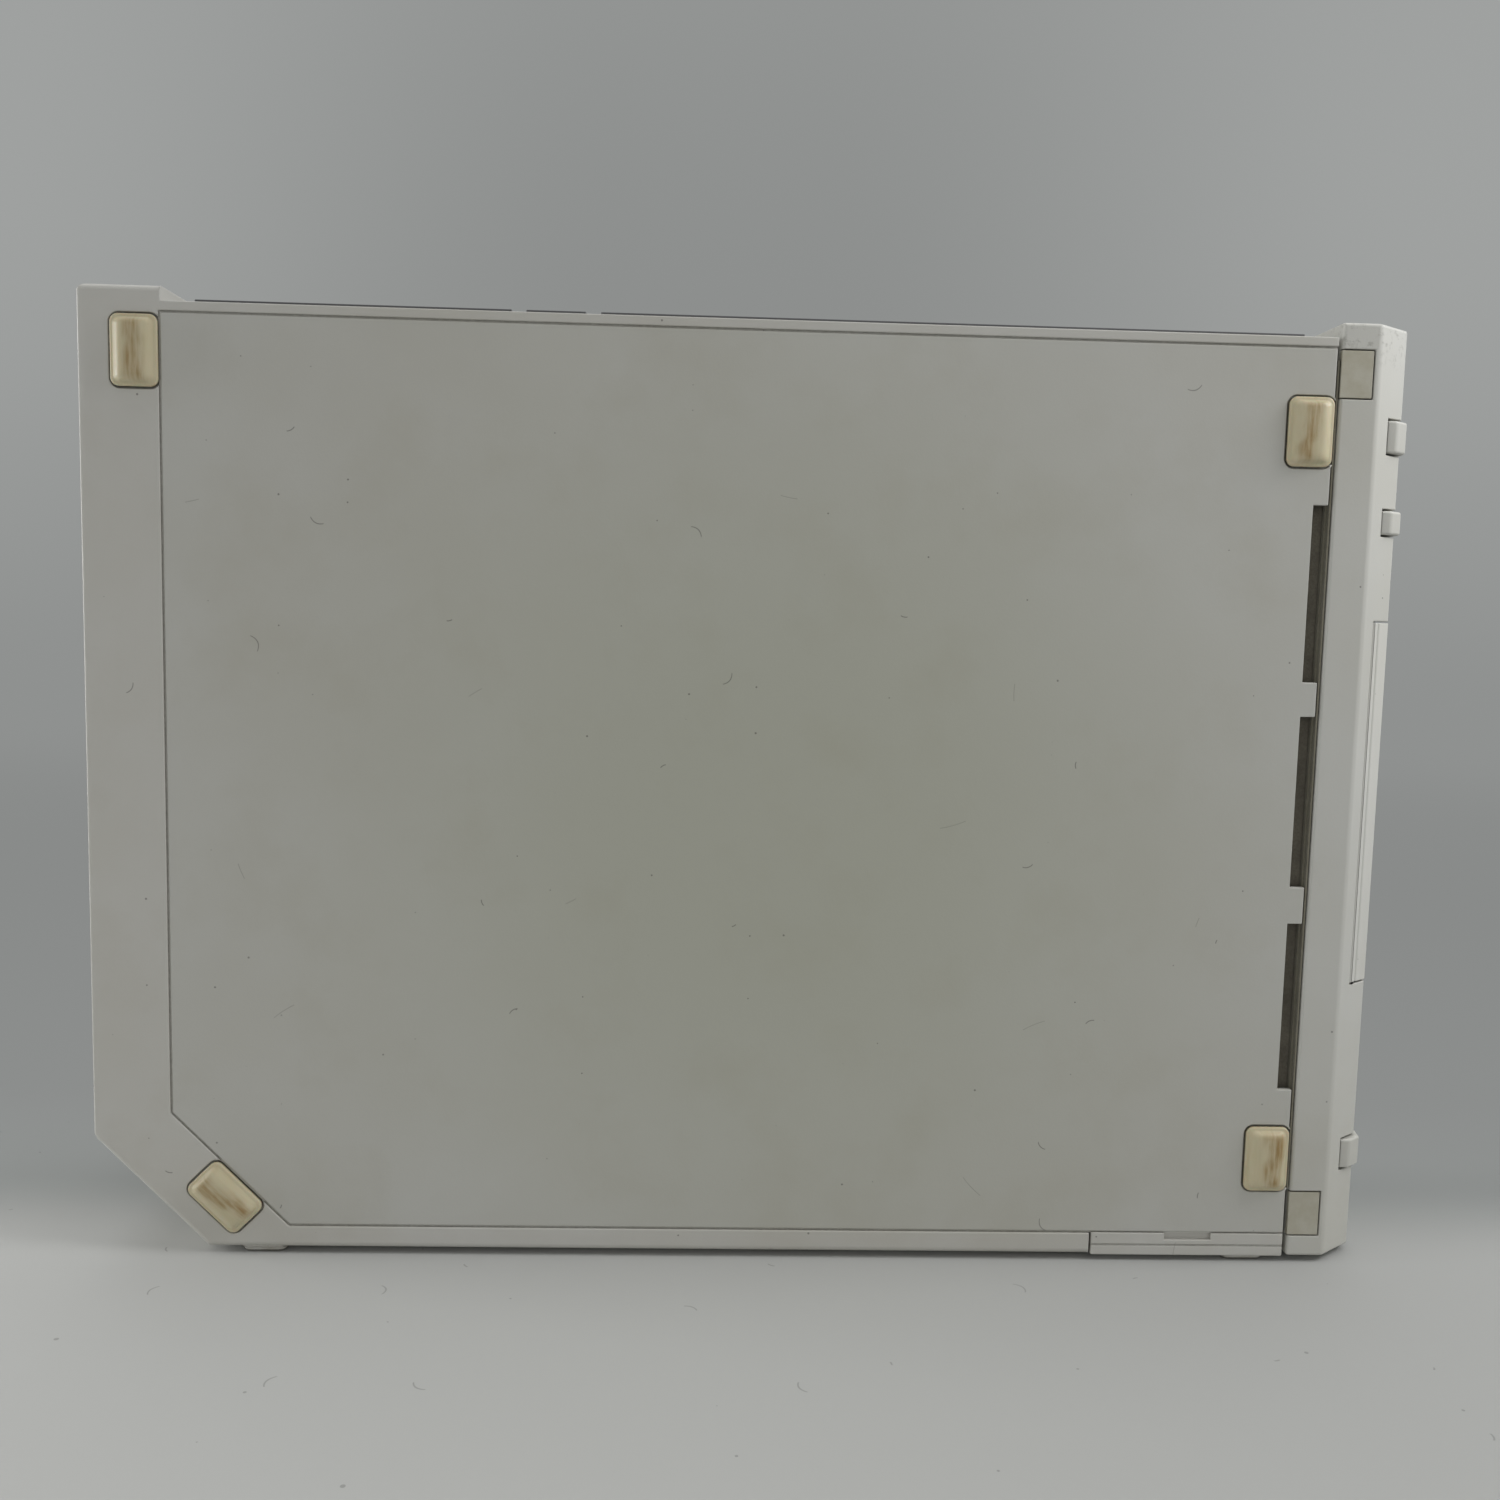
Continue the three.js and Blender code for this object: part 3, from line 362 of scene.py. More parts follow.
SEAT_PAST_PANEL = 0.15
SEAT_BELOW_FACE = 0.42
SEAT_WIDTH = 0.4
SEAT_THICKNESS = 0.8
SEAT_CHAMFER = 19.1
panel_low, panel_high = corners_in_mm("base_panel")
seat_rear = panel_low.x - SEAT_PAST_PANEL
seat_front = panel_high.x
seat_bottom = panel_low.z - SEAT_PAST_PANEL
seat_top = panel_high.z + SEAT_PAST_PANEL
seat_face = panel_low.y + SEAT_BELOW_FACE
seat_path = (
    (seat_front, seat_bottom),
    (seat_rear + SEAT_CHAMFER, seat_bottom),
    (seat_rear, seat_bottom + SEAT_CHAMFER),
    (seat_rear, seat_top),
    (seat_front, seat_top),
)
seat_mesh = strip_mesh("panel_seat", seat_path, SEAT_WIDTH, seat_face, seat_face + SEAT_THICKNESS)
fit(new_object("panel_seat", seat_mesh, case_abs), "console", "shell")


# -------- air slot baffle
# Behind the air slots a strip of dark felt is painted shade, standing for the shade inside the slots, and a
# stepped rib on the bezel's rear edge closes the seam beside it. The felt is drawn as needled polyester, and
# the rib as dusty ABS whose dark olive tone is painted shade in the seam.

def add_boxes(name, material, slot, boxes):
    """A piece fixed in the console: one closed box for each pair of corners, given in mm."""
    bm = bmesh.new()
    for (x0, y0, z0), (x1, y1, z1) in boxes:
        size = Vector((x1 - x0, y1 - y0, z1 - z0)) * MM
        middle = Vector((x1 + x0, y1 + y0, z1 + z0)) * MM / 2
        bmesh.ops.create_cube(bm, size=1, matrix=Matrix.Translation(middle) @ Matrix.Diagonal((*size, 1)))
    fit(new_object(name, finish_mesh(name, bm), material), "console", slot)


def dusty_felt(name, colour, dusty, fibre):
    """Needled polyester felt or dusty plastic: very matt, fuzzy with fibres, paler where dust has settled.

    A fibre is about 0.03 mm thick. fibre is the size that it is drawn at, the finest that still shows.
    """
    material, tree = start_material(name)
    place, _ = place_in_mm(tree)
    fibres = add(
        tree, "ShaderNodeTexNoise", {"Vector": place, "Scale": 1 / fibre, "Detail": 5, "Roughness": 0.7}
    )
    drifts = add(tree, "ShaderNodeTexNoise", {"Vector": place, "Scale": 1 / 6, "Detail": 3})
    both = add(tree, "ShaderNodeMath", {0: fibres, 1: drifts}, operation="MULTIPLY")
    share = add(tree, "ShaderNodeMapRange", {0: both, 1: 0.12, 2: 0.42})
    tone = add(tree, "ShaderNodeMix", {0: share, 6: linear(colour), 7: linear(dusty)}, data_type="RGBA")
    finish_material(tree, tone, 0.9, fibres, 0.1, 0.8, {"Sheen Weight": 0.2})
    return material


# The felt's dark tone and the rib's dark olive are painted shade, for the shade inside the slots and the
# seam.
slot_shade_felt = dusty_felt("painted_shade_felt", "#5a564c", "#7c776a", 0.35)
rib_abs = dusty_felt("dusty_shaded_abs_rib", "#7b7768", "#918d7e", 0.5)
FELT_WIDTH = 3.1
FELT_FACE = -19.1
RIB_FACE = -19.9
RIB_STEP_FACE = -20.9
BAFFLE_BACK = -18.7
SLOTS_LOW, SLOTS_HIGH = 26, 133
SEAM_LOW, SEAM_HIGH = 13, 152
felt_front = panel_high.x - 0.1
add_boxes("air_slot_felt", slot_shade_felt, "dark", [
    ((felt_front - FELT_WIDTH, FELT_FACE, SLOTS_LOW), (felt_front, BAFFLE_BACK, SLOTS_HIGH)),
])
add_boxes("air_slot_ribs", rib_abs, "shell", [
    ((panel_high.x - 0.03, RIB_FACE, SEAM_LOW), (panel_high.x + 0.58, BAFFLE_BACK, SEAM_HIGH)),
    ((panel_high.x + 0.25, RIB_STEP_FACE, SEAM_LOW), (panel_high.x + 0.5, RIB_FACE + 0.05, SEAM_HIGH)),
])


# -------- slot light guide and status light
# A frame of frosted clear acrylic lines the disc slot and glows when a disc waits in it. A small round light
# pipe of the same acrylic shows that the power is on. Both are off, so they look milky and grey-blue.

def frosted_acrylic(name, colour, milky):
    """Acrylic with a matt moulded face: milky, slightly deep, with a faint cool tint and a soft gloss."""
    material, tree = start_material(name)
    place, _ = place_in_mm(tree)
    haze = add(tree, "ShaderNodeTexNoise", {"Vector": place, "Scale": 1 / 6, "Detail": 3})
    cloudy = add(tree, "ShaderNodeMix", {0: haze, 6: linear(colour), 7: linear(milky)}, data_type="RGBA")
    # The frosting is about 0.05 mm. It is drawn at 0.3 mm, the finest that still shows.
    frost = add(tree, "ShaderNodeTexNoise", {"Vector": place, "Scale": 1 / 0.3, "Detail": 2})
    rough = add(tree, "ShaderNodeMapRange", {0: frost, 3: 0.28, 4: 0.5})
    depth = {"Transmission Weight": 0.35, "Subsurface Weight": 0.25, "Subsurface Scale": 1.5 * MM}
    finish_material(tree, cloudy, rough, frost, 0.01, 0.5, {"IOR": 1.49, **depth})
    return material


frosted_guide = frosted_acrylic("frosted_acrylic", "#b4bdc1", "#c3c8ca")
round_off("slot_light_guide", "moulding", frosted_guide, "lamp", outer=0.15, inner=0.12)
round_off("status_light", "pipe", frosted_guide, "lamp", outer=0.2, inner=0.12)


# -------- disc slot lips
# Two lips behind the light guide leave a thin gap for the disc and wipe the dust off it. They are strips of
# flocked polyester, glued edge to edge along the slot.

LIP_WIDTH = 3.4
LIP_GAP = 0.35
LIP_THICKNESS = 0.8
LIP_BEHIND_GUIDE = 0.5
LIP_SHORT_OF_END = 1.0
guide_low, guide_high = corners_in_mm("slot_light_guide")
slot_y = (guide_low.y + guide_high.y) / 2
lip_back = guide_low.x - LIP_BEHIND_GUIDE
lip_front = lip_back + LIP_THICKNESS
lip_low = guide_low.z + LIP_SHORT_OF_END
lip_high = guide_high.z - LIP_SHORT_OF_END
flocked_lip = dusty_felt("flocked_polyester_lip", "#232324", "#4b4a47", 0.25)
add_boxes("disc_slot_lips", flocked_lip, "dark", [
    ((lip_back, slot_y - LIP_WIDTH, lip_low), (lip_front, slot_y - LIP_GAP, lip_high)),
    ((lip_back, slot_y + LIP_GAP, lip_low), (lip_front, slot_y + LIP_WIDTH, lip_high)),
])


# -------- buttons
# Power, reset and eject keys, moulded in the bezel's ABS with well rounded faces. Each slides in its own hole
# and stands 0.8 mm proud until it is pressed.

for key in ("power_button", "reset_button", "eject_button"):
    round_off(key, "cap", bezel_abs, "shell", outer=0.45, inner=0.25, body=key)


# -------- card door
# A tall thin flap on the near facet of the nose, hinged along its lower long edge. It is moulded ABS, closed
# by a small latch, with an even gap round it. It is drawn whiter than the bezel, as painted light where it
# turns towards the light.

# The door's whiter tone than the bezel is painted light, for its turn towards the light on the nose.
door_abs = moulded_abs("satin_moulded_abs_door", "#dcdcd7", "#d7d6cf", "#a3987c", 0.45, grime=0.5, wear=0.6)
round_off("card_door", "flap", door_abs, "shell", outer=0.25, inner=0.15, body="card_door")


# -------- screw covers and bezel screws
# Two flat plugs pressed into the bezel hide its screws. They are a softer plastic that has gone grey-beige.
# The screws under them are zinc-plated steel.

def moulded_elastomer(name, colour, aged):
    """Thermoplastic elastomer, moulded matt: flat and slightly dusty, and beige where skin oil aged it."""
    material, tree = start_material(name)
    place, _ = place_in_mm(tree)
    tone = mottled(tree, place, linear(colour), aged, 3.5, 0.35, 0.7, detail=5, roughness=0.6)
    # Painted shade and grime: darker wherever a point is shut in, from the ambient-occlusion share alone.
    shut_in = crevices(tree, 0.6, 0.4, 0.85, 0.6)
    grime_and_painted_shade = add(tree, "ShaderNodeMix", {0: shut_in, 6: tone, 7: linear("#4a463c")}, data_type="RGBA")
    dust = add(tree, "ShaderNodeTexNoise", {"Vector": place, "Scale": 1 / 0.3, "Detail": 3})
    rough = add(tree, "ShaderNodeMapRange", {0: dust, 3: 0.5, 4: 0.75})
    finish_material(tree, grime_and_painted_shade, rough, dust, 0.03, 0.6, {"IOR": 1.5})
    return material


def bright_metal(name, colour, tarnish, roughness, grain, speckle=0.35):
    """Bare or plated metal: a directional grain of fine lines, and dull spots where it tarnished.

    grain is the mm between lines on X, Y and Z, long where the metal was rolled or drawn. The real lines are
    under 0.1 mm apart, and are drawn coarser so that they show.
    """
    material, tree = start_material(name)
    place, _ = place_in_mm(tree)
    stretched = add(tree, "ShaderNodeMapping", {"Vector": place, "Scale": [1 / size for size in grain]})
    lines = add(tree, "ShaderNodeTexNoise", {"Vector": stretched, "Scale": 1.0, "Detail": 3})
    tone = mottled(tree, place, linear(colour), tarnish, 4, 0.45, 0.75, most=speckle, detail=6, roughness=0.7)
    rough = add(tree, "ShaderNodeMapRange", {0: lines, 1: 0.3, 2: 0.7, 3: roughness, 4: roughness + 0.2})
    finish_material(tree, tone, rough, lines, 0.01, 0.5, {"Metallic": 1.0})
    return material


def refinish(material, *nodes):
    """Gives CAD nodes that keep their own shape a better finish."""
    for node in nodes:
        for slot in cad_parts[node].material_slots:
            slot.material = material


aged_plug = moulded_elastomer("moulded_elastomer_plug", "#c3c0b2", "#b5b09d")
for node in ("screw_cover_top", "screw_cover_bottom"):
    round_off(node, "plug", aged_plug, "cover", outer=0.15, inner=0.12)

zinc_plate = bright_metal("zinc_plated_steel", "#b9bbb9", "#7d7f7c", 0.3, (9, 0.4, 0.4))
refinish(zinc_plate, "bezel_screw_top", "bezel_screw_bottom")


# -------- base pads
# Four large rounded-rectangle pads that the console stands on when it lies flat. They are soft polyurethane
# bonded into shallow pockets: a low rim, then a crowned top. Age has turned them cream, with a brown streaky
# smear along the crown where they rubbed.

def aged_polyurethane(name):
    """Cast polyurethane gone cream with age. It is dense and waxy, with a soft sheen on the crown.

    The smear and its streaks follow the pad, so they read its own map of across and along.
    """
    material, tree = start_material(name)
    place, _ = place_in_mm(tree)
    pad_map = add(tree, "ShaderNodeUVMap", uv_map="across_along")
    across, along, _ = add(tree, "ShaderNodeSeparateXYZ", {0: pad_map}).outputs
    wander = add(tree, "ShaderNodeTexNoise", {"Vector": place, "Scale": 1 / 9, "Detail": 2})
    drift = add(tree, "ShaderNodeMapRange", {0: wander, 1: 0.3, 2: 0.7, 3: -0.4, 4: 0.4})
    moved = add(tree, "ShaderNodeMath", {0: across, 1: drift}, operation="ADD")
    off_crown = add(tree, "ShaderNodeMath", {0: moved}, operation="ABSOLUTE")
    smear = add(
        tree, "ShaderNodeMapRange", {0: off_crown, 1: 0.05, 2: 0.6, 3: 1, 4: 0},
        interpolation_type="SMOOTHSTEP",
    )
    off_middle = add(tree, "ShaderNodeMath", {0: along}, operation="ABSOLUTE")
    inside_ends = add(tree, "ShaderNodeMapRange", {0: off_middle, 1: 0.7, 2: 0.92, 3: 1, 4: 0})
    # The rubbed streaks are about 0.6 mm wide and run several mm along the pad.
    thin_across = add(tree, "ShaderNodeMath", {0: across, 1: 6.0}, operation="MULTIPLY")
    long_along = add(tree, "ShaderNodeMath", {0: along, 1: 1.1}, operation="MULTIPLY")
    own_start = add(tree, "ShaderNodeMath", {0: wander, 1: 3.0}, operation="MULTIPLY")
    stretched = add(tree, "ShaderNodeCombineXYZ", {0: thin_across, 1: long_along, 2: own_start})
    streaks = add(tree, "ShaderNodeTexNoise", {"Vector": stretched, "Scale": 1.0, "Detail": 4})
    streaky = add(tree, "ShaderNodeMapRange", {0: streaks, 1: 0.35, 2: 0.65, 3: 0.35, 4: 1})
    smeared = add(tree, "ShaderNodeMath", {0: smear, 1: inside_ends}, operation="MULTIPLY")
    brown = add(tree, "ShaderNodeMath", {0: smeared, 1: streaky}, operation="MULTIPLY")
    share = add(tree, "ShaderNodeMath", {0: brown, 1: 0.9}, operation="MULTIPLY")
    cream = add(
        tree, "ShaderNodeMix", {0: streaks, 6: linear("#d9d0b4"), 7: linear("#cabe98")}, data_type="RGBA"
    )
    tone = add(tree, "ShaderNodeMix", {0: share, 6: cream, 7: linear("#9d7c43")}, data_type="RGBA")
    # Painted shade and grime: darker where the pad meets its pocket, which draws the dark outline round it.
    shut_in = crevices(tree, 0.7, 0.4, 0.85, 0.6)
    grime_and_painted_shade = add(tree, "ShaderNodeMix", {0: shut_in, 6: tone, 7: linear("#6a6350")}, data_type="RGBA")
    # The cast skin's pits are under 0.1 mm. They are drawn at 0.22 mm, the finest that still shows.
    pits = add(
        tree, "ShaderNodeTexNoise", {"Vector": place, "Scale": 1 / 0.22, "Detail": 3, "Roughness": 0.7}
    )
    rough = add(tree, "ShaderNodeMapRange", {0: pits, 1: 0.3, 2: 0.7, 3: 0.3, 4: 0.5})
    waxy = {"IOR": 1.5, "Subsurface Weight": 0.15, "Subsurface Scale": 0.8 * MM}
    finish_material(tree, grime_and_painted_shade, rough, pits, 0.03, 0.7, waxy)
    return material


PAD_HALF_WIDTH = 3.7
PAD_HALF_LENGTH = 5.6
PAD_CORNER = 1.3
PAD_LEAST_CORNER = 0.35
PAD_CORNER_TIGHTENS = 0.45
PAD_CORNER_STEPS = 8
# Each ring of the pad: how far it is in from the sides, in from the ends, and up from its pocket, in mm.
PAD_RINGS = (
    (0.02, 0.02, 0.0), (0.0, 0.0, 0.8), (0.08, 0.08, 0.97), (0.3, 0.3, 1.04), (0.5, 0.48, 1.06),
    (0.64, 0.6, 1.14), (0.9, 0.72, 1.42), (1.25, 0.86, 1.72), (1.6, 1.02, 1.93), (2.0, 1.25, 2.06),
    (2.5, 1.7, 2.14), (3.0, 2.4, 2.18),
)


def pad_mesh(name, centre, turn, floor_y):
    """A crowned pad built ring by ring, its top towards -Y, with a map of across and along from -1 to 1."""
    bm = bmesh.new()
    uv = bm.loops.layers.uv.new("across_along")
    rings = []
    place_of = {}
    for side_in, end_in, height in PAD_RINGS:
        half_width = PAD_HALF_WIDTH - side_in
        half_length = PAD_HALF_LENGTH - end_in
        corner = max(PAD_LEAST_CORNER, PAD_CORNER - PAD_CORNER_TIGHTENS * min(side_in, end_in))
        ring = []
        for quarter, (sx, sz) in enumerate(((1, 1), (-1, 1), (-1, -1), (1, -1))):
            for step in range(PAD_CORNER_STEPS + 1):
                angle = math.radians(90 * (quarter + step / PAD_CORNER_STEPS))
                x = sx * (half_width - corner) + corner * math.cos(angle)
                z = sz * (half_length - corner) + corner * math.sin(angle)
                turned = Matrix.Rotation(turn, 2) @ Vector((x, z)) * MM
                vert = bm.verts.new((centre.x + turned.x, floor_y - height * MM, centre.z + turned.y))
                place_of[vert] = (x / PAD_HALF_WIDTH, z / PAD_HALF_LENGTH)
                ring.append(vert)
        rings.append(ring)
    for below, above in zip(rings, rings[1:]):
        for i in range(len(below)):
            j = (i + 1) % len(below)
            bm.faces.new((below[i], below[j], above[j], above[i]))
    bm.faces.new(rings[-1])
    bm.faces.new(rings[0][::-1])
    bmesh.ops.recalc_face_normals(bm, faces=bm.faces)
    for face in bm.faces:
        for loop in face.loops:
            loop[uv].uv = place_of[loop.vert]
    mesh = finish_mesh(name, bm)
    mesh.shade_smooth()
    return mesh


pad_rubber = aged_polyurethane("aged_polyurethane")
pad_turns = {"rear_top": 0, "rear_corner": math.radians(45), "front_top": 0, "front_bottom": 0}
for corner, turn in pad_turns.items():
    low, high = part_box("base_pad_" + corner)
    mesh = pad_mesh(f"base_pad_{corner}_cast", (low + high) / 2, turn, high.y)
    fit(new_object(mesh.name, mesh, pad_rubber), "console", "pad", "base_pad_" + corner)


# -------- edge feet
# Four small low feet on the narrow edge that the console stands on here. They are the same soft plastic as
# the plugs, moulded white. One of them is on the battery tray and comes out with it.

foot_rubber = moulded_elastomer("moulded_elastomer_foot", "#d0cfca", "#bdb9ad")
feet = {"rear_near": "console", "rear_far": "console", "front_far": "console", "front_near": "battery_tray"}
for corner, body in feet.items():
    round_off("edge_foot_" + corner, "pad", foot_rubber, "pad", outer=0.3, inner=0.2, body=body)


# -------- port bay and its lids
# A long well in the top deck holds the controller sockets and the memory slots, under two hinged lids. The
# liner is drawn as a dark matt moulding, as painted shade, so its rim shows as a thin dark line above the
# deck where the gap by the lids lies in shade. The lids are ABS like the case.

def matt_moulding(name, colour, dusty, roughness, grain):
    """Nylon, rubber, epoxy or dark ABS from an etched mould: matt, finely pebbled, with dust in its corners.

    The etched grain is about 0.1 mm. grain is the size that it is drawn at, the finest that still shows.
    """
    material, tree = start_material(name)
    place, _ = place_in_mm(tree)
    pebbles = add(tree, "ShaderNodeTexNoise", {"Vector": place, "Scale": 1 / grain, "Detail": 3})
    clouds = add(tree, "ShaderNodeTexNoise", {"Vector": place, "Scale": 1 / 7, "Detail": 4})
    shut_in = crevices(tree, 2.0, 0.3, 1.0, 0.55, 0.08, samples=4)
    dusted = add(tree, "ShaderNodeMath", {0: shut_in, 1: clouds}, operation="MULTIPLY")
    tone = add(tree, "ShaderNodeMix", {0: dusted, 6: linear(colour), 7: linear(dusty)}, data_type="RGBA")
    rough = add(
        tree, "ShaderNodeMapRange", {0: clouds, 1: 0.3, 2: 0.7, 3: roughness - 0.08, 4: roughness + 0.1}
    )
    finish_material(tree, tone, rough, pebbles, 0.03, 0.6, {"IOR": 1.53})
    return material


grey_abs = matt_moulding("moulded_grey_abs", "#55565a", "#8b8a84", 0.5, grain=0.35)
# The liner's dark grey is painted shade: its rim stands for the shaded gap between the deck and the lids.
round_off("port_bay_liner", "moulding", grey_abs, "dark", outer=0.15, inner=0.15)
for lid in ("memory_card_door", "controller_port_door"):
    round_off(lid, "lid", case_abs, "shell", outer=0.3, inner=0.15, body=lid)


# -------- controller sockets and memory slots
# Four round-welled controller sockets and two memory card slots stand on the bay floor. Their bodies are
# moulded nylon, and their contacts are gold-plated.

socket_nylon = matt_moulding("moulded_grey_nylon", "#3b3d3f", "#7c7b76", 0.5, grain=0.3)
black_nylon = matt_moulding("moulded_black_nylon", "#1c1d1e", "#5d5c58", 0.5, grain=0.3)
gold_plate = bright_metal("gold_plated_contact", "#d9b566", "#9c7b3c", 0.22, (0.5, 4, 4))
controller_sockets = [f"controller_socket_{number}" for number in (1, 2, 3, 4)]
memory_slots = [f"memory_slot_{number}" for number in (1, 2)]
for node in controller_sockets + memory_slots:
    round_off(node, "body", socket_nylon, "dark", outer=0.3, inner=0.2)


def start_nodes(name, **sizes):
    """A geometry node tree with these named inputs and a finish, and the sockets that give them."""
    tree = bpy.data.node_groups.new(name, "GeometryNodeTree")
    for label, kind in {"Geometry": "Geometry", **sizes, "Finish": "Material"}.items():
        tree.interface.new_socket(label.replace("_", " "), in_out="INPUT", socket_type="NodeSocket" + kind)
    tree.interface.new_socket("Geometry", in_out="OUTPUT", socket_type="NodeSocketGeometry")
    return tree, add(tree, "NodeGroupInput").outputs


def finish_nodes(tree, shape, finish):
    real = add(tree, "GeometryNodeRealizeInstances", {0: shape})
    coated = add(tree, "GeometryNodeSetMaterial", {"Geometry": real, "Material": finish})
    add(tree, "NodeGroupOutput", {0: coated})
    return tree


def contact_rows_tree():
    """Geometry nodes that repeat one small bar in rows: a count and a step for each of two directions."""
    tree, given = start_nodes(
        "contact_rows", Per_row="Int", Rows="Int", Start="Vector", Step_in_row="Vector",
        Step_to_next_row="Vector", Bar_size="Vector",
    )
    rows = add(
        tree, "GeometryNodeMeshLine",
        {"Count": given["Rows"], "Start Location": given["Start"], "Offset": given["Step to next row"]},
    )
    row = add(tree, "GeometryNodeMeshLine", {"Count": given["Per row"], "Offset": given["Step in row"]})
    laid = add(tree, "GeometryNodeInstanceOnPoints", {"Points": rows, "Instance": row})
    points = add(tree, "GeometryNodeRealizeInstances", {0: laid})
    bar = add(tree, "GeometryNodeMeshCube", {"Size": given["Bar size"]})
    bars = add(tree, "GeometryNodeInstanceOnPoints", {"Points": points, "Instance": bar})
    return finish_nodes(tree, bars, given["Finish"])


def from_nodes(name, tree, material, **values):
    """Runs a geometry node tree with these inputs, and keeps its result as a plain mesh."""
    host = new_object(name, bpy.data.meshes.new(name), material)
    modifier = host.modifiers.new("made by nodes", "NODES")
    modifier.node_group = tree
    sockets = {s.name: s.identifier for s in tree.interface.items_tree if s.in_out == "INPUT"}
    for label, value in {**values, "Finish": material}.items():
        modifier[sockets[label.replace("_", " ")]] = value
    bpy.context.view_layer.update()
    result = host.evaluated_get(bpy.context.evaluated_depsgraph_get())
    mesh = bpy.data.meshes.new_from_object(result)
    host.modifiers.clear()
    empty = host.data
    host.data = mesh
    bpy.data.meshes.remove(empty)
    mesh.name = name
    return host


contact_rows = contact_rows_tree()


def add_contacts(name, metal, count, start, step, bar, rows=1, row_step=(0, 0, 0)):
    """The contacts of one socket, fixed in the console, with their places and sizes in mm."""
    sizes = {"Start": start, "Step_in_row": step, "Step_to_next_row": row_step, "Bar_size": bar}
    in_metres = {label: [value * MM for value in size] for label, size in sizes.items()}
    fit(from_nodes(name, contact_rows, metal, Per_row=count, Rows=rows, **in_metres), "console", "steel")


PITCH = 2.0
PIN_FIRST_ROW_Y = -10.5
PIN_MIDDLE_Z = 144.5
for number, node in enumerate(controller_sockets, start=1):
    low, high = corners_in_mm(node)
    add_contacts(
        f"controller_pins_{number}", gold_plate, count=3, bar=(0.8, 0.8, 5), step=(PITCH, 0, 0), rows=2,
        start=((low.x + high.x) / 2 - PITCH, PIN_FIRST_ROW_Y, PIN_MIDDLE_Z), row_step=(0, PITCH, 0),
    )
BLADE_IN_FROM_SIDE = 2.5
BLADE_MIDDLE_Z = 143
for number, node in enumerate(memory_slots, start=1):
    low, high = corners_in_mm(node)
    add_contacts(
        f"memory_contacts_{number}", gold_plate, count=12, bar=(1.0, 0.5, 5), step=(PITCH, 0, 0),
        start=((low.x + high.x) / 2 - 5.5 * PITCH, low.y + BLADE_IN_FROM_SIDE, BLADE_MIDDLE_Z),
    )


# -------- battery tray and coin cell
# A small drawer in the bottom edge carries the clock's coin cell. Its end shows as part of the rim, with a
# finger notch. The tray is case ABS, and the cell is nickel-plated steel.

nickel_plate = bright_metal("nickel_plated_steel", "#c9c4b8", "#8f8a7c", 0.18, (3, 3, 3), speckle=0.2)
round_off("battery_tray", "moulding", case_abs, "shell", outer=0.25, inner=0.15, body="battery_tray")
round_off("coin_cell", "can", nickel_plate, "steel", outer=0.4, inner=0.2, body="battery_tray")


# -------- rear sockets and exhaust grille
# Data, video, sensor and power sockets open through the rear wall beside the exhaust grille. The sockets are
# moulded nylon, and the two data sockets have a steel shell round a nylon tongue. Their contacts are plated
# with gold, the power pins with nickel. The grille is a separate dark moulding.

for node in ("video_socket", "sensor_socket", "power_socket"):
    round_off(node, "body", black_nylon, "dark", outer=0.25, inner=0.18)
data_sockets = ("data_socket_lower", "data_socket_upper")
for node in data_sockets:
    round_off(node, "shell", zinc_plate, "dark", outer=0.2, inner=0.12)
round_off("exhaust_grille", "moulding", grey_abs, "dark", outer=0.2, inner=0.12)

# Each place is measured from the socket's lowest corner.
TONGUE_IN = 1.2
TONGUE_REACH = 13
TONGUE_MARGIN = 1.6
TONGUE_FACE = 3.2
for node in data_sockets:
    low, high = corners_in_mm(node)
    tongue_low = (low.x + TONGUE_IN, low.y + TONGUE_MARGIN, low.z + TONGUE_MARGIN)
    tongue_high = (low.x + TONGUE_REACH, low.y + TONGUE_FACE, high.z - TONGUE_MARGIN)
    add_boxes(node + "_tongue", black_nylon, "dark", [(tongue_low, tongue_high)])
    add_contacts(
        node + "_contacts", gold_plate, count=4, bar=(7, 0.3, 1.0), step=(0, 0, 2.5),
        start=(low.x + 5, low.y + 3.25, low.z + 3.25),
    )
low, high = corners_in_mm("video_socket")
add_contacts(
    "video_socket_pins", gold_plate, count=7, bar=(8, 0.5, 0.9), step=(0, 0, 2.0),
    start=(low.x + 6, low.y + 2.6, low.z + 3), rows=2, row_step=(0, 2.4, 0),
)
low, high = corners_in_mm("power_socket")
add_contacts(
    "power_socket_pins", nickel_plate, count=2, bar=(9, 2.4, 1.2), step=(0, 0, 3.6),
    start=(low.x + 6, (low.y + high.y) / 2, low.z + 3.2),
)


# -------- main board, shield, processor and heat sink
# A glass-epoxy board carries everything on the near side, under a thin steel shield. The processor sits under
# an extruded aluminium heat sink.

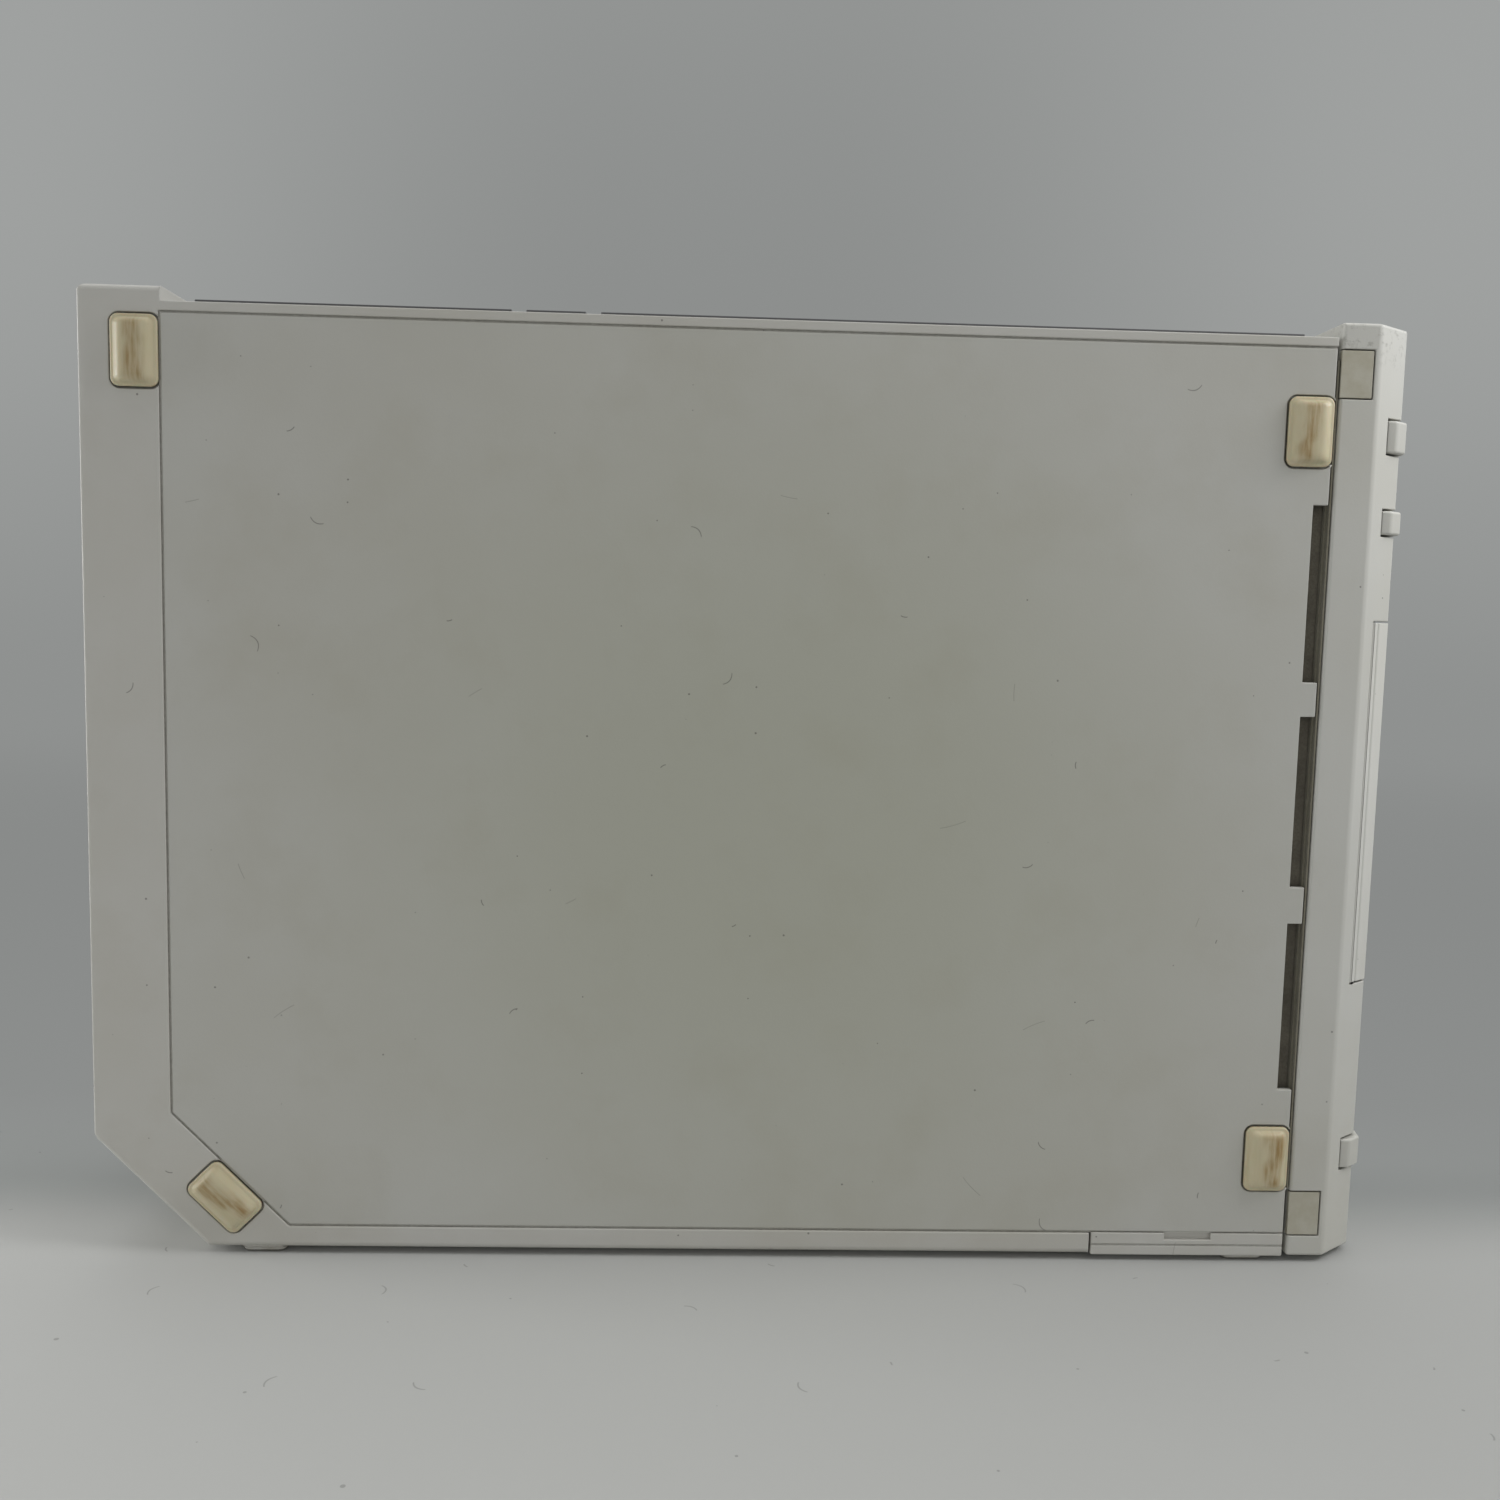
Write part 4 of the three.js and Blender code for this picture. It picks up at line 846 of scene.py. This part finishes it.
def solder_mask(name, green, copper, solder):
    """Green solder mask on glass epoxy: glossy, with copper tracks a shade lighter and solder spots."""
    material, tree = start_material(name)
    place, _ = place_in_mm(tree)
    x, _, z = add(tree, "ShaderNodeSeparateXYZ", {0: place}).outputs
    flat = add(tree, "ShaderNodeCombineXYZ", {0: x, 1: z})
    blocks = add(
        tree, "ShaderNodeTexVoronoi", {"Vector": flat, "Scale": 1 / 4, "Randomness": 0.7},
        voronoi_dimensions="2D", distance="CHEBYCHEV",
    )
    nested = add(tree, "ShaderNodeMath", {0: blocks, 1: 6.0}, operation="MULTIPLY")
    lines = add(tree, "ShaderNodeMath", {0: nested}, operation="FRACT")
    track = add(tree, "ShaderNodeMath", {0: lines, 1: 0.6}, operation="GREATER_THAN")
    tone = add(tree, "ShaderNodeMix", {0: track, 6: linear(green), 7: linear(copper)}, data_type="RGBA")
    # Joints lie on the 2.54 mm grid of through-hole parts.
    spots = add(tree, "ShaderNodeTexVoronoi", {"Vector": flat, "Scale": 1 / 2.54}, voronoi_dimensions="2D")
    joint = add(tree, "ShaderNodeMath", {0: spots, 1: 0.16}, operation="LESS_THAN")
    soldered = add(tree, "ShaderNodeMix", {0: joint, 6: tone, 7: linear(solder)}, data_type="RGBA")
    finish_material(tree, soldered, 0.3, track, 0.03, 0.6, {"Metallic": joint})
    return material


board_mask = solder_mask("solder_mask_on_glass_epoxy", "#12402a", "#1f5a3a", "#b4b4b0")
refinish(board_mask, "main_board", "switch_board", "wireless_module")
rolled_steel = bright_metal("rolled_tinned_steel", "#b4b4b0", "#84827c", 0.32, (14, 0.5, 0.5))
refinish(rolled_steel, "board_shield")
sink_metal = bright_metal("extruded_aluminium", "#c6c8c9", "#9a9c9d", 0.35, (0.4, 0.4, 16), speckle=0.2)
refinish(sink_metal, "heat_sink")
epoxy = matt_moulding("moulded_epoxy_package", "#2a2b2c", "#55544f", 0.45, grain=0.4)
refinish(epoxy, "processor_package")


# -------- fan, card reader and drive
# The fan draws air across the heat sink to the grille. The slot-loading drive hangs in the far half: a steel
# tray and lid, a rubber feed roller with its motor and belt, a spindle, and a laser sled that a threaded
# screw drives along two rails.

refinish(black_nylon, "fan_housing", "fan_rotor", "card_reader", "spindle_hub", "optical_sled")
drive_steel = bright_metal("zinc_plated_drive_steel", "#aeb0ae", "#7a7b77", 0.34, (12, 0.6, 0.6))
refinish(drive_steel, "drive_tray", "drive_cover", "spindle_motor", "loading_motor", "motor_rotor")
ground_steel = bright_metal("ground_stainless_steel", "#c4c4c2", "#9b9b98", 0.16, (0.3, 3, 3), speckle=0.15)
refinish(ground_steel, "guide_rail_lower", "guide_rail_upper", "lead_screw")
epdm_rubber = matt_moulding("moulded_epdm_rubber", "#222222", "#6a6863", 0.7, grain=0.25)
refinish(epdm_rubber, "feed_roller", "drive_belt")


def thread_tree():
    """Geometry nodes that wind a round ridge along X: a spiral, swept with a small circle."""
    tree, given = start_nodes(
        "wound_thread", Turns="Float", Radius="Float", Length="Float", Ridge="Float", Start="Vector"
    )
    spiral = add(tree, "GeometryNodeCurveSpiral", {
        "Resolution": 24, "Rotations": given["Turns"], "Start Radius": given["Radius"],
        "End Radius": given["Radius"], "Height": given["Length"],
    })
    laid = add(
        tree, "GeometryNodeTransform",
        {0: spiral, "Translation": given["Start"], "Rotation": (0, math.pi / 2, 0)},
    )
    section = add(tree, "GeometryNodeCurvePrimitiveCircle", {"Resolution": 5, "Radius": given["Ridge"]})
    swept = add(
        tree, "GeometryNodeCurveToMesh", {"Curve": laid, "Profile Curve": section, "Fill Caps": True}
    )
    return finish_nodes(tree, swept, given["Finish"])


THREAD_FROM_END = 2
THREAD_LENGTH = 46
THREAD_RADIUS = 1.5
THREAD_RIDGE = 0.2
# The sled moves this far in mm for each turn of the screw.
SLED_PER_TURN = 6
rail_low, rail_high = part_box("guide_rail_lower")
screw_low, screw_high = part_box("lead_screw")
thread_start = (
    rail_low.x + THREAD_FROM_END * MM, (rail_low.y + rail_high.y) / 2, (screw_low.z + screw_high.z) / 2
)
thread = from_nodes(
    "lead_screw_thread", thread_tree(), ground_steel, Turns=THREAD_LENGTH / SLED_PER_TURN, Start=thread_start,
    Radius=THREAD_RADIUS * MM, Length=THREAD_LENGTH * MM, Ridge=THREAD_RIDGE * MM,
)
fit(thread, "lead_screw", "steel")


# -------- floor, light and camera
# A seamless pale paper sweep under soft studio light. Painted shade makes the paper brightest under and in
# front of the console and grey behind it, and its far part glows with painted light. The camera looks at the
# side with the pads, slightly from above.

SWEEP_NEAR = -3.0
SWEEP_FAR = 1.3
SWEEP_CURVE = 0.5
SWEEP_STEPS = 12
SWEEP_TOP = 2.2
SWEEP_SIDE = 5.0
profile = [(SWEEP_NEAR, 0.0), (SWEEP_FAR - SWEEP_CURVE, 0.0)]
for step in range(1, SWEEP_STEPS + 1):
    angle = math.radians(90 * step / SWEEP_STEPS)
    profile.append((SWEEP_FAR + SWEEP_CURVE * (math.sin(angle) - 1), SWEEP_CURVE * (1 - math.cos(angle))))
profile.append((SWEEP_FAR, SWEEP_TOP))
sweep_mesh = bpy.data.meshes.new("paper_sweep")
sweep_mesh.from_pydata(
    [(side * SWEEP_SIDE, y, z) for y, z in profile for side in (-1, 1)], [],
    [(2 * i, 2 * i + 1, 2 * i + 3, 2 * i + 2) for i in range(len(profile) - 1)],
)
sweep_mesh.shade_smooth()


def tones(tree, value, stops):
    """A smooth run of greys along a value: each stop is a place in metres and a hex colour."""
    first, last = stops[0][0], stops[-1][0]
    share = add(tree, "ShaderNodeMapRange", {0: value, 1: first, 2: last})
    ramp = add(tree, "ShaderNodeValToRGB", {0: share})
    ramp.color_ramp.interpolation = "CARDINAL"
    elements = ramp.color_ramp.elements
    for place, _ in stops[1:-1]:
        elements.new((place - first) / (last - first))
    for element, (_, colour) in zip(elements, stops):
        element.color = linear(colour)
    return ramp


def backdrop_paper(name):
    """Wide matt paper, faintly fibrous, with a little lint and a few crumbs on it.

    Its near part is pale in front of the console and grey behind it, as painted shade, with painted shade
    towards the console's front end. Its far part glows with painted light: dim behind the console, brighter
    higher up, and brighter towards both sides than in the middle.
    """
    material, tree = start_material(name)
    coords = add(tree, "ShaderNodeTexCoord").outputs["Object"]
    x, y, z = add(tree, "ShaderNodeSeparateXYZ", {0: coords}).outputs
    # Painted shade: the paper is pale in front of the console and darker grey behind it.
    far = add(tree, "ShaderNodeMapRange", {0: y, 1: -0.02, 2: 0.012}, interpolation_type="SMOOTHSTEP")
    tone = add(tree, "ShaderNodeMix", {0: far, 6: linear("#c3c4c2"), 7: linear("#9b9e9d")}, data_type="RGBA")
    # Painted shade towards the console's front end.
    end = add(tree, "ShaderNodeMapRange", {0: x, 1: -0.08, 2: 0.17, 4: 0.26}, interpolation_type="SMOOTHSTEP")
    shaded = add(tree, "ShaderNodeMix", {0: end, 6: tone, 7: linear("#6f7170")}, data_type="RGBA")
    flat = add(tree, "ShaderNodeVectorMath", {0: coords, 3: 1 / MM}, operation="SCALE")
    lint = stray_marks(tree, flat, 26, 0.5, length=3.2, width=0.2, bend=0.3, shift=(11, 5, 0))
    crumbs = add(tree, "ShaderNodeTexVoronoi", {"Vector": flat, "Scale": 1 / 17}, voronoi_dimensions="2D")
    pick = add(tree, "ShaderNodeSeparateColor", {0: crumbs.outputs["Color"]})
    crumb_size = add(tree, "ShaderNodeMapRange", {0: pick, 1: 0.6, 2: 1, 4: 0.022})
    crumb = add(tree, "ShaderNodeMath", {0: crumbs, 1: crumb_size}, operation="LESS_THAN")
    litter = add(tree, "ShaderNodeMath", {0: crumb, 1: lint}, operation="MAXIMUM")
    share = add(tree, "ShaderNodeMath", {0: litter, 1: 0.35}, operation="MULTIPLY")
    littered = add(tree, "ShaderNodeMix", {0: share, 6: shaded, 7: linear("#3c3b38")}, data_type="RGBA")
    fibres = add(tree, "ShaderNodeTexNoise", {"Vector": coords, "Scale": 900.0, "Detail": 3})
    bump = add(tree, "ShaderNodeBump", {"Height": fibres, "Distance": 0.05 * MM, "Strength": 0.3})
    lit = add(tree, "ShaderNodeBsdfPrincipled", {"Base Color": littered, "Roughness": 0.75, "Normal": bump})
    # Painted light: the far part glows with these tones of grey, which stand for the light on the paper.
    along_floor = tones(
        tree, y, [(0.0, "#8f9190"), (0.06, "#8c8e8d"), (0.28, "#898b8a"), (0.6, "#8b8d8c"), (0.9, "#8f9190")]
    )
    up_sides = tones(
        tree, z, [(0.0, "#8f9190"), (0.15, "#949695"), (0.3, "#9a9c9b"), (0.5, "#9fa1a0"), (0.9, "#9fa1a0")]
    )
    up_middle = tones(
        tree, z, [(0.0, "#8f9190"), (0.2, "#8d8f8e"), (0.45, "#8d8f8e"), (0.7, "#919392"), (0.9, "#949695")]
    )
    off_middle = add(tree, "ShaderNodeMath", {0: x}, operation="ABSOLUTE")
    aside = add(tree, "ShaderNodeMapRange", {0: off_middle, 1: 0.1, 2: 0.8}, interpolation_type="SMOOTHSTEP")
    wall_tone = add(tree, "ShaderNodeMix", {0: aside, 6: up_middle, 7: up_sides}, data_type="RGBA")
    on_wall = add(tree, "ShaderNodeMapRange", {0: z, 2: 0.12}, interpolation_type="SMOOTHSTEP")
    glow_tone = add(tree, "ShaderNodeMix", {0: on_wall, 6: along_floor, 7: wall_tone}, data_type="RGBA")
    glow = add(tree, "ShaderNodeEmission", {"Color": glow_tone})
    glowing = add(tree, "ShaderNodeMapRange", {0: y, 1: 0.005, 2: 0.06}, interpolation_type="SMOOTHSTEP")
    shader = add(tree, "ShaderNodeMixShader", {0: glowing, 1: lit, 2: glow})
    add(tree, "ShaderNodeOutputMaterial", {"Surface": shader})
    return material


new_object("paper_sweep", sweep_mesh, backdrop_paper("seamless_backdrop_paper"))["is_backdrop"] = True

world = bpy.data.worlds.new("studio_air")
bpy.context.scene.world = world
world.use_nodes = True
air = world.node_tree.nodes["Background"].inputs
air["Color"].default_value = linear("#c8c8c6")
air["Strength"].default_value = 0.53


def soft_light(name, place, aim, size, power, spread=180):
    """A white panel light of that size in metres, turned to a point and unseen by the camera."""
    data = bpy.data.lights.new(name, "AREA")
    data.shape = "RECTANGLE"
    data.size, data.size_y = size
    data.energy = power
    data.spread = math.radians(spread)
    lamp = bpy.data.objects.new(name, data)
    lamp.location = place
    lamp.visible_camera = False
    lamp.rotation_euler = (Vector(aim) - Vector(place)).to_track_quat("-Z", "Y").to_euler()
    bpy.context.scene.collection.objects.link(lamp)


soft_light("light_from_front_end", (0.3, -0.06, 0.27), (0.1, -0.01, 0.13), (0.16, 0.16), 0.145, spread=90)
soft_light("light_from_rear_end", (-0.7, 0.02, 0.16), (-0.1, 0, 0.08), (0.3, 0.3), 2.1)
soft_light("fill_from_camera_side", (0.15, -1.0, 0.4), (0, 0, 0.08), (0.8, 0.6), 0.9)
soft_light("light_from_above", (0, 0.2, 1.0), (0, 0, 0), (1.2, 1.0), 4.3)

camera_data = bpy.data.cameras.new("camera")
camera_data.lens = 33.6
camera_data.clip_start = 0.01
camera = bpy.data.objects.new("camera", camera_data)
camera.location = (-0.008905, -0.249583, 0.108607)
camera.rotation_euler = [math.radians(angle) for angle in (84.498, -1.369, -1.874)]
bpy.context.scene.collection.objects.link(camera)
bpy.context.scene.camera = camera
bpy.context.scene.view_settings.view_transform = "Standard"

low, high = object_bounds()
